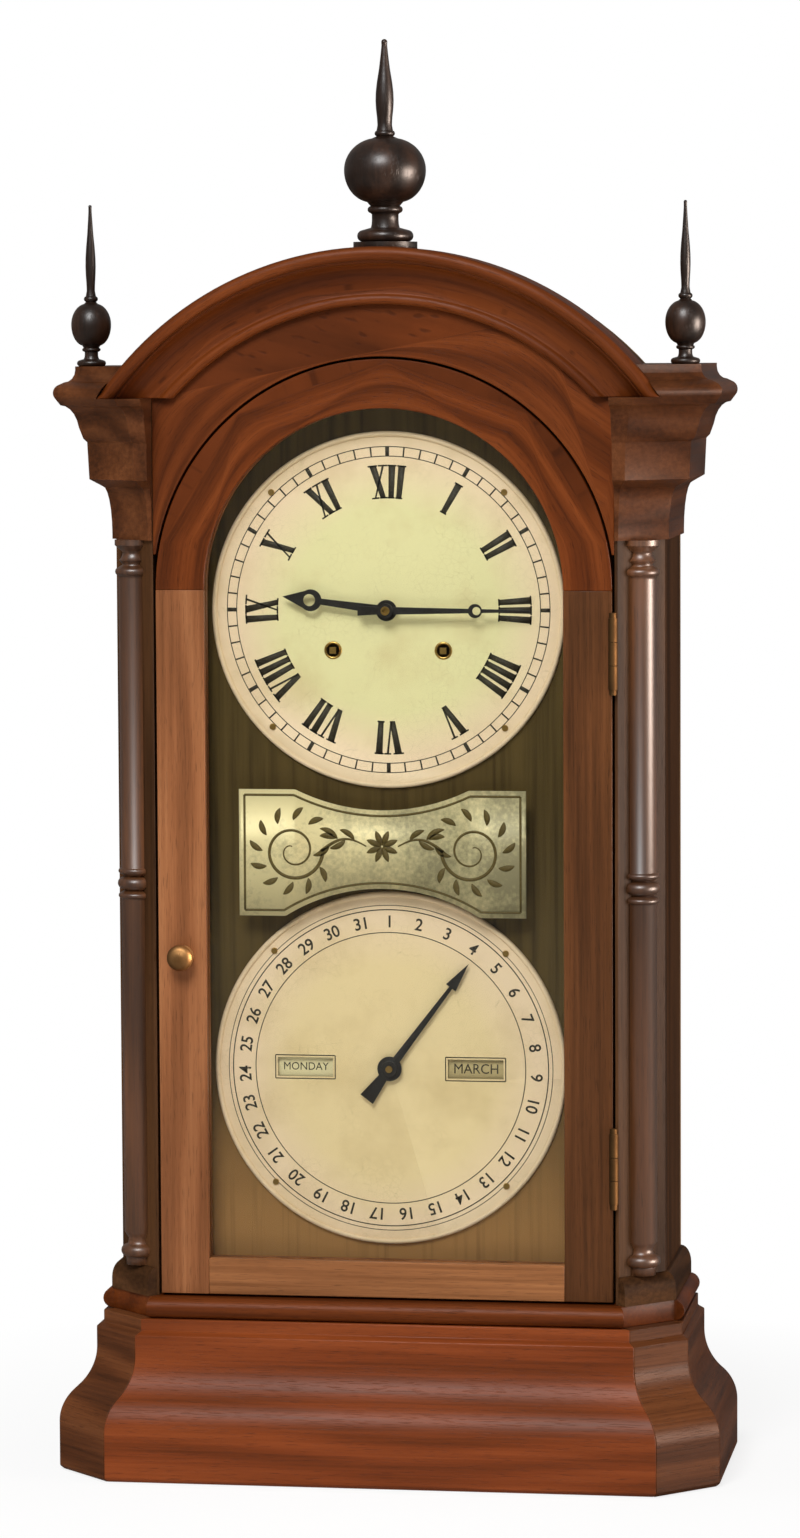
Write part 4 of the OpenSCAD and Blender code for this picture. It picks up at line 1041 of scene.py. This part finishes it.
@dataclass
class Case:
    """The walnut body: posts, columns, frieze, crown, capitals and the boards inside it."""

    finishes: Finishes
    body: str = "case"

    def build(self) -> None:
        """Dresses the body's boards and mouldings."""
        f = self.finishes
        upright, arch = GrainRun.UPRIGHT, GrainRun.ROUND_ARCH
        # Side panels, corner posts, columns and capitals take darker walnut copies, as painted shade.
        pieces = {
            "side_panels": (f.side, upright), "corner_posts": (f.post, upright), "columns": (f.column, upright),
            "arch_fascia": (f.arch, arch), "roof_board": (f.side, arch), "crown_moulding": (f.arch, arch),
            "capital_left": (f.cant, GrainRun.DEEP), "capital_right": (f.cant, GrainRun.DEEP),
            "back_board": (f.inside, upright), "movement_blocks": (f.inside, upright),
        }
        edges = {"columns": 0.0, "crown_moulding": Edge.MOULDING}
        for seed, (node, (finish, run)) in enumerate(pieces.items(), start=7):
            dress(node, self.body, "walnut", finish, run, edges.get(node, Edge.BOARD), seed)
        dress("finial_plinth", self.body, "dark_walnut", f.ebony, upright, Edge.BOARD, 19)
        dress("dial_board", self.body, "stained_board", f.board, edge=Edge.BOARD)


@dataclass(frozen=True)
class Finial:
    """Sizes of one turned finial in millimetres: foot, neck, collar, urn, bead and a spire with a swelling."""

    height: float
    urn: float
    urn_at: float
    urn_tall: float
    foot: float
    neck: float
    spire: float
    swelling: tuple[Pair, ...] = (
        (0.13, 0.8), (0.2, 0.84), (0.29, 0.95), (0.37, 1.0), (0.46, 0.97), (0.56, 0.85), (0.7, 0.6), (0.84, 0.42),
        (0.93, 0.32),
    )

    def outline(self) -> np.ndarray:
        """Outline from the foot to the tip.

        The foot and the collar are half-rounds, the urn two quarter ellipses, and the spire a line through shares of
        its largest radius.

        Returns:
            N by 2 array of radius and height in metres.
        """
        low, high = self.urn_at - self.urn_tall / 2, self.urn_at + self.urn_tall / 2
        over, radius, throat = self.height - high, self.urn / 2, self.swelling[0][1] * self.spire
        under, upper = np.radians(np.linspace(-80, 0, 18)), np.radians(np.linspace(5, 80, 16))
        shares, radii = np.array(self.swelling).T
        fine = np.linspace(shares[0], shares[-1], 30)
        parts = [
            [[0, 0], [self.foot, 0]],
            arc((self.foot - 0.5, 0.15 * low), 0.15 * low, -60, 70, 10),
            [[self.neck + 0.6, 0.36 * low], [self.neck + 0.15, 0.45 * low], [self.neck, 0.55 * low],
             [self.neck, 0.7 * low]],
            arc((self.neck + 0.4, 0.82 * low), 0.09 * low, -80, 80, 9),
            np.stack([self.neck + (radius - self.neck) * np.cos(under),
                      self.urn_at + self.urn_tall / 2 * np.sin(under)], 1),
            np.stack([throat + (radius - throat) * np.cos(upper),
                      self.urn_at + self.urn_tall / 2 * np.sin(upper)], 1),
            arc((throat, high + 0.045 * over), 0.03 * over, -70, 70, 9),
            np.stack([np.interp(fine, shares, radii) * self.spire, high + fine * over], 1),
            arc((0, self.height - 0.34 * self.spire), 0.34 * self.spire, -20, 84, 8),
            [[0, self.height]],
        ]
        return np.vstack([np.array(part, float) for part in parts]) * MM


@dataclass
class Finials:
    """The three turned finials."""

    finishes: Finishes
    middle: Finial = Finial(113.0, 46.0, 40.0, 36.0, 13.0, 7.5, 5.1)
    side: Finial = Finial(91.0, 22.6, 23.5, 24.0, 7.0, 3.8, 2.9)

    def build(self) -> None:
        """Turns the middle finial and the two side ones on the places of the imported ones."""
        f = self.finishes
        middle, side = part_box("finial_middle"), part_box("side_finials")
        y = middle_of("finial_middle")[1]
        x = side[1].x - self.side.urn / 2 * MM
        crown = [turned(self.middle.outline(), Vector((0, y, middle[0].z)))]
        pair = [turned(self.side.outline(), Vector((at, y, side[0].z))) for at in (-x, x)]
        made = (("middle_finial_turning", "finial_middle", crown), ("side_finial_turnings", "side_finials", pair))
        for seed, (name, node, shapes) in enumerate(made, start=21):
            piece = new_piece(name, joined(shapes), "case", f.ebony, sharp=50)
            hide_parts(node)
            set_grain(piece, GrainRun.UPRIGHT, seed)


@dataclass
class GiltPanel:
    """Gilding on the back of the glass between the dials: a waisted field, lined and drawn with leaf scrolls.

    Its upper and lower edges follow circles about the two dials, cut off level at a low and a high line. Sizes are in
    millimetres, the dials' middles in (x, z).
    """

    finishes: Finishes
    upper: Pair
    lower: Pair
    body: str = "door"
    middle: float = -2.0
    half: float = 82.0
    low: float = 320.0
    high: float = 392.0
    off_upper: float = 112.5
    off_lower: float = 104.0
    rosette: Pair = (0.0, 360.0)
    scroll: Pair = (51.0, 357.0)
    eye: float = 2.5
    roll: float = 17.0
    turns: float = 1.7
    start: float = 185.0
    stem: Pair = (9.0, 26.0)
    arch: float = 5.5
    sink: float = 3.0
    steps: int = 141
    line: float = 1.3
    line_inset: float = 3.2
    line_gap: float = 0.12
    field_gap: float = 0.22

    def edges(self, x: np.ndarray, inset: float) -> tuple[np.ndarray, np.ndarray]:
        """The lower and the upper edge of the field.

        Args:
            x: places across the field.
            inset: how far both edges come in.

        Returns:
            Two heights for each place.
        """
        over = self.upper[1] - np.sqrt((self.off_upper + inset) ** 2 - x**2)
        under = self.lower[1] + np.sqrt((self.off_lower + inset) ** 2 - x**2)
        return np.maximum(under, self.low + inset), np.minimum(over, self.high - inset)

    def field(self) -> Shape:
        """The gilt field between its edges, as one band of quads."""
        x = np.linspace(-self.half, self.half, self.steps)
        return np.vstack([np.stack([x, edge], 1) for edge in self.edges(x, 0.0)]), grid_faces(2, len(x))

    def border(self) -> list[Shape]:
        """A line round the field, set in from its edges.

        Returns:
            Bands along the four edges.
        """
        reach = self.half - self.line_inset
        x = np.linspace(-reach, reach, self.steps)
        under, over = self.edges(x, self.line_inset)
        lines = [np.stack([x, edge], 1) for edge in (under, over)]
        for at, end in ((-reach, 0), (reach, -1)):
            lines.append(np.stack([np.full(9, at), np.linspace(under[end], over[end], 9)], 1))
        return [strip(line, self.line) for line in lines]

    def spiral(self) -> Shape:
        """A scroll whose radius shrinks while it turns, thinning towards its eye.

        Returns:
            Flat points and faces.
        """
        t = np.linspace(0, 1, 90)
        angle = math.radians(self.start) + t * self.turns * TURN
        radius = self.eye + (self.roll - self.eye) * (1 - t) ** 0.8
        line = np.stack([self.scroll[0] + radius * np.cos(angle), self.scroll[1] + radius * np.sin(angle)], 1)
        return strip(line, 0.6 + 1.5 * (1 - t))

    def leaf(self, foot: np.ndarray, aim: float, length: float, width: float, bend: float) -> Shape:
        """A pointed leaf along a bent line, its half width the sine of the share to the power of 0.8.

        Args:
            foot: the leaf's foot.
            aim: the way it starts, in degrees.
            length: its length.
            width: its width.
            bend: how far it turns, in degrees.

        Returns:
            Flat points and faces.
        """
        t = np.linspace(0.01, 0.99, 17)
        way = math.radians(aim) + math.radians(bend) * t
        step = np.stack([np.cos(way), np.sin(way)], 1) * length / len(t)
        return strip(foot + np.cumsum(step, 0), width * np.sin(math.pi * t) ** 0.8 + 0.1)

    def on_stem(self, t: np.ndarray) -> np.ndarray:
        """Points at shares of the stem: a half wave of a sine on a line that sinks outwards."""
        height = self.rosette[1] + self.arch * np.sin(math.pi * t) - self.sink * t
        return np.stack([self.stem[0] + self.stem[1] * t, height], -1)

    def spray(self) -> list[Shape]:
        """The right half of the drawing: a stem, a scroll and the leaves on both.

        Returns:
            Flat points and faces of each stroke.
        """
        t = np.linspace(0, 1, 40)
        shapes = [self.spiral(), strip(self.on_stem(t), 0.8 + 1.2 * t)]
        leaves = ((0.25, 60, 11, -50), (0.45, -55, 11, 50), (0.62, 62, 13, -60), (0.8, -60, 12, 55))
        shapes += [self.leaf(self.on_stem(np.array(at)), aim, length, 3.2, bend) for at, aim, length, bend in leaves]
        for aim in range(-150, 151, 30):
            turn = math.radians(aim)
            foot = np.array(self.scroll) + self.roll * np.array([math.cos(turn), math.sin(turn)])
            shapes.append(self.leaf(foot, aim + 15, 10.0, 3.4, 45))
        return shapes

    def lay(self, name: str, shapes: list[Shape], y: float, finish: Material) -> None:
        """Lays shapes in millimetres on the pane."""
        flat, faces = joined(shapes)
        flat_piece(name, ((flat + [self.middle, 0]) * MM, faces), y, self.body, finish)

    def build(self) -> None:
        """Lays the lines next to the glass and the gold behind them."""
        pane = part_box("door_glass")[1].y
        half = self.spray()
        rosette = [self.leaf(np.array(self.rosette), 45 * k + 22.5, 9.5, 3.4, 0) for k in range(8)]
        mirrored = [(flat * [-1, 1], [face[::-1] for face in faces]) for flat, faces in half]
        drawn = self.border() + half + mirrored + rosette
        self.lay("gilt_lines", drawn, pane + self.line_gap * MM, self.finishes.line)
        self.lay("gilt_field", [self.field()], pane + self.field_gap * MM, self.finishes.gilt)


@dataclass
class Door:
    """The glazed door with its knob, hinges and the gilding inside its glass."""

    finishes: Finishes
    body: str = "door"

    def build(self) -> None:
        """Dresses the door's parts and lays the gilding."""
        f = self.finishes
        dress("door_stiles", self.body, "walnut", f.stile, GrainRun.UPRIGHT, Edge.MOULDING, 31, side=-1)
        # The right stile takes the darker walnut copy, as painted shade.
        dress("door_stiles", self.body, "walnut", f.shaded, GrainRun.UPRIGHT, Edge.MOULDING, 35, side=1)
        dress("door_bottom_rail", self.body, "walnut", f.rail, GrainRun.ACROSS, Edge.MOULDING, 32)
        dress("door_arch_rail", self.body, "walnut", f.arch, GrainRun.ROUND_ARCH, Edge.MOULDING, 33)
        dress("glazing_beads", self.body, "walnut", f.stile, GrainRun.UPRIGHT, Edge.BEAD, 34)
        dress("door_glass", self.body, "glass", f.glass)
        dress("hinge_door_leaves", self.body, "brass", f.hinge_brass, edge=Edge.METAL)
        dress("hinge_case_leaves", "case", "brass", f.hinge_brass, edge=Edge.METAL)
        dress("door_knob", "door_knob", "brass", f.old_brass, edge=Edge.METAL)
        middles = [middle_of(node) for node in ("time_dial", "calendar_dial")]
        GiltPanel(f, *[(m[0] / MM, m[2] / MM) for m in middles]).build()


@dataclass
class Dial:
    """A painted dial on the case. Sizes in millimetres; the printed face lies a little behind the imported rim."""

    finishes: Finishes
    node: str = ""
    radius: float = 98.0
    rim_depth: float = 1.2
    middle_tone: Colour = DialPaint.middle

    def __post_init__(self) -> None:
        """Takes the dial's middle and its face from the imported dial."""
        self.x, _, self.z = middle_of(self.node)
        self.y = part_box(self.node)[1].y - self.rim_depth * MM

    def bent(self, shape: Shape, inner: float, middle: float, at: float) -> Shape:
        """Bends a shape round the dial: its own u moves the angle by u over the middle radius.

        Args:
            shape: points (along the rim, outwards) in metres, and faces.
            inner: the radius of its foot.
            middle: the middle radius.
            at: the angle of its middle from the dial's top.

        Returns:
            Points of x and z, and the same faces.
        """
        flat, faces = shape
        angle, radius = at + flat[:, 0] / middle, inner + flat[:, 1]
        return np.stack([self.x + radius * np.sin(angle), self.z + radius * np.cos(angle)], 1), faces

    def paint(self) -> None:
        """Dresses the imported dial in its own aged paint."""
        paint = DialPaint(self.node + "_paint", (self.x, self.y, self.z), self.radius * MM, self.middle_tone)
        dress(self.node, "case", "painted_dial", paint.material())

    def printed(self, name: str, shapes: list[Shape]) -> None:
        """Lays printed shapes on the dial's face."""
        flat_piece(name, joined(shapes), self.y, "case", self.finishes.ink)


@dataclass
class TimeDial(Dial):
    """The hour dial: Roman figures, a minute track, brass rings in the winding holes, and the hands."""

    node: str = "time_dial"
    figure_in: float = 63.0
    figure_out: float = 82.0
    thick: float = 3.5
    thin: float = 1.1
    serif: float = 0.9
    narrow: float = 5.0
    broad: float = 9.8
    track: Pair = (87.0, 92.0)
    track_rings: Pair = (86.6, 92.0)
    track_line: float = 0.5
    ticks: Pair = (1.8, 0.7)
    ring: float = 4.3
    ring_wire: Pair = (0.75, 0.6)

    def bar(self, foot: float, head: float, width: float, low: float, high: float) -> Shape:
        """A stroke with level ends.

        Args:
            foot: place of its foot along the rim.
            head: place of its head.
            width: its width.
            low: height of its foot.
            high: height of its head.

        Returns:
            Points in metres, and one face.
        """
        half = width / 2
        corners = [[foot - half, low], [foot + half, low], [head + half, high], [head - half, high]]
        return np.array(corners) * MM, [[0, 1, 2, 3]]

    def strokes(self, figure: str) -> list[Shape]:
        """Strokes of one Roman figure in (along the rim, outwards).

        An upright is one thick bar, V a thick and a thin leg that meet at the foot, X a thick and a thin diagonal,
        and each end has a thin serif. A row of the table is a bar's foot and head along the rim from the letter's
        middle, its width, and its low and high end. The letters follow each other by their widths.

        Args:
            figure: its letters.

        Returns:
            The strokes in metres.
        """
        h, thick, thin = self.figure_out - self.figure_in, self.thick, self.thin
        foot, head = (0, self.serif), (h - self.serif, h)
        diagonals = [(2.5, -2.5, thick, 0, h), (-2.9, 2.9, thin, 0, h)]
        letters = {
            "I": (self.narrow, [(0, 0, thick, 0, h), (0, 0, 4.6, *foot), (0, 0, 4.6, *head)]),
            "V": (self.broad, [
                (0, -2.6, thick, 0, h), (0.8, 3, thin, 0, h), (-2.6, -2.6, 5.3, *head), (3, 3, 3.5, *head)]),
            "X": (self.broad, diagonals + [(at, at, 4.8, *end) for at in (-2.6, 2.6) for end in (foot, head)]),
        }
        shapes: list[Shape] = []
        u = -sum(letters[letter][0] for letter in figure) / 2
        for letter in figure:
            width, bars = letters[letter]
            shapes += [self.bar(u + width / 2 + a, u + width / 2 + b, *sizes) for a, b, *sizes in bars]
            u += width
        return shapes

    def round_dial(self, shape: Shape, inner: float, at: float) -> Shape:
        """Bends a stroke round the dial from an inner radius, at an angle, by the figures' middle radius."""
        return self.bent(shape, inner * MM, (self.figure_in + self.figure_out) / 2 * MM, at)

    def figures(self) -> list[Shape]:
        """The twelve figures with their feet towards the centre."""
        names = enumerate("XII I II III IIII V VI VII VIII IX X XI".split())
        return [self.round_dial(s, self.figure_in, k * TURN / 12) for k, name in names for s in self.strokes(name)]

    def minute_track(self) -> list[Shape]:
        """Sixty strokes between two rings, every fifth one thick.

        Returns:
            The strokes and the rings.
        """
        low, high = self.track
        ticks = [self.bar(0, 0, self.ticks[k % 5 > 0], 0, high - low) for k in range(60)]
        strokes = [self.round_dial(tick, low, k * TURN / 60) for k, tick in enumerate(ticks)]
        rings = [flat_ring((self.x, self.z), r * MM, (r + self.track_line) * MM) for r in self.track_rings]
        return strokes + rings

    def grommets(self) -> Shape:
        """Brass beads round the winding holes: a small circle carried round a large one.

        Returns:
            Points and faces of both beads.
        """
        rows, columns = 48, 16
        turn = np.linspace(0, TURN, rows, endpoint=False)[:, None]
        part = np.linspace(0, TURN, columns, endpoint=False)
        faces = (np.array(grid_faces(rows + 1, columns, closed=True)) % (rows * columns)).tolist()
        out, depth = self.ring_wire
        radius = (self.ring + out * np.cos(part)) * MM
        rings = []
        for node in ("time_main_wheel", "strike_main_wheel"):
            x, _, z = middle_of(node)
            y = self.y - np.sin(part) * depth * MM + 0 * turn
            points = np.stack([x + radius * np.cos(turn), y, z + radius * np.sin(turn)], -1)
            rings.append((points.reshape(-1, 3), faces))
        return joined(rings)

    def build(self) -> None:
        """Paints the dial, prints it and dresses the hands."""
        f = self.finishes
        self.paint()
        self.printed("time_dial_figures", self.figures())
        self.printed("minute_track", self.minute_track())
        new_piece("winding_hole_rings", self.grommets(), "case", f.brass, sharp=60)
        for hand in ("hour_hand", "minute_hand"):
            dress(hand, hand, "blued_steel", f.blued, edge=Edge.HAND)
        dress("dial_screws", "case", "brass", f.brass, edge=Edge.SCREW)


@dataclass(frozen=True)
class Roller:
    """A roller behind a window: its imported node, its words in order, and its sizes in millimetres."""

    node: str
    words: tuple[str, ...]
    axis_y: float
    axis_z: float
    apothem: float
    letters: float
    uses_darker_card: bool = False
    widest: float = 28.0

    def print(self) -> Shape:
        """A word on each face, the next word on the face that the roller's turning brings up.

        Face k leans by a = -360 k / n degrees about the axis. A word's point (u, v) stands u along the axis, v up the
        face and the apothem out from the axis along the face's normal (-cos a, -sin a) in (y, z).

        Returns:
            Points and faces of all the words.
        """
        middle = middle_of(self.node)[0]
        shapes = []
        for k, word in enumerate(self.words):
            flat, faces = words_flat(word, self.letters * MM, self.widest * MM)
            a = -TURN * k / len(self.words)
            points = np.stack([
                middle + flat[:, 0],
                (self.axis_y - self.apothem * math.cos(a)) * MM - flat[:, 1] * math.sin(a),
                (self.axis_z - self.apothem * math.sin(a)) * MM + flat[:, 1] * math.cos(a)], 1)
            shapes.append((points, faces))
        return joined(shapes)


@dataclass
class CalendarDial(Dial):
    """The calendar dial: numbers 1 to 31, framed windows, the date hand and the two rollers."""

    node: str = "calendar_dial"
    middle_tone: Colour = srgb(238, 214, 167)
    number_at: float = 84.0
    number_h: float = 7.0
    number_w: float = 11.0
    swell: float = 0.014
    rings: tuple[Pair, ...] = ((77.4, 77.9), (90.4, 91.0), (93.0, 93.4))
    window: Pair = (32.0, 11.0)
    frame_gap: float = 1.2
    frame_line: float = 0.6
    rollers: tuple[Roller, ...] = (
        Roller("day_roller", ("MONDAY", "TUESDAY", "WEDNESDAY", "THURSDAY", "FRIDAY", "SATURDAY", "SUNDAY"),
               -4.0, 232.0, 11.71, 4.6),
        # The month roller's card is darker than the day roller's.
        Roller("month_roller", ("MARCH", "APRIL", "MAY", "JUNE", "JULY", "AUGUST", "SEPTEMBER", "OCTOBER", "NOVEMBER",
                                "DECEMBER", "JANUARY", "FEBRUARY"), 3.0, 232.0, 19.32, 5.8, True),
    )

    def numbers(self) -> list[Shape]:
        """The numbers 1 to 31 with their feet towards the centre, bent along the rim.

        Returns:
            Points and faces of each number.
        """
        at, days = self.number_at * MM, 31
        drawn = [words_flat(str(k + 1), self.number_h * MM, self.number_w * MM, self.swell) for k in range(days)]
        return [self.bent(shape, at, at, TURN * k / days) for k, shape in enumerate(drawn)]

    def frames(self) -> list[Shape]:
        """A thin line round each window.

        Returns:
            Its bands.
        """
        shapes = []
        u, v = ((side / 2 + self.frame_gap) * MM for side in self.window)
        corners = np.array([[-u, -v], [u, -v], [u, v], [-u, v]])
        for roller in self.rollers:
            for k in range(4):
                line = np.linspace(corners[k], corners[(k + 1) % 4], 5) + [middle_of(roller.node)[0], self.z]
                shapes.append(strip(line, self.frame_line * MM))
        return shapes

    def build(self) -> None:
        """Paints the dial, prints it and dresses the hand and the rollers."""
        f = self.finishes
        self.paint()
        rings = [flat_ring((self.x, self.z), low * MM, high * MM) for low, high in self.rings]
        self.printed("calendar_figures", self.numbers() + rings + self.frames())
        dress("date_hand", "date_hand", "blued_steel", f.blued, edge=Edge.HAND)
        for roller in self.rollers:
            dress(roller.node, roller.node, "painted_dial", f.old_card if roller.uses_darker_card else f.card, edge=Edge.BEAD)
            thicken(new_piece(roller.node + "_words", roller.print(), roller.node, f.ink))


@dataclass
class Works:
    """The movement, pendulum, strike and calendar work behind the dials."""

    finishes: Finishes

    def build(self) -> None:
        """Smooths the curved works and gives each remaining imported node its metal."""
        f = self.finishes
        smooth = {
            "pendulum_bob": ("brass", f.brass), "suspension_cock": ("brass", f.brass),
            "gong_coil": ("blued_steel", f.blued), "mainsprings": ("blued_steel", f.blued),
        }
        for body, members in frame["record"]["behaviour"]["bodies"].items():
            for node in members:
                if node in smooth:
                    dress(node, body, *smooth[node])
        plain = {"gong_base": f.iron, "verge_and_crutch": f.steel, "strike_hammer": f.steel, "movement_screws": f.steel}
        for name, node in frame["nodes"].items():
            if not node.hide_render:
                node.data.materials.clear()
                node.data.materials.append(plain.get(name, f.brass))
                LOG.info("%s keeps its packed shape", name)


def main() -> None:
    """Builds the stage and the clock's sub-assemblies in order."""
    logging.basicConfig(level=logging.INFO)
    Stage().build()
    finishes = Finishes.make()
    for part in (Base, Case, Finials, Door, TimeDial, CalendarDial, Works):
        part(finishes).build()
        LOG.info("%s is built", part.__name__)


if __name__ == "__main__":
    main()
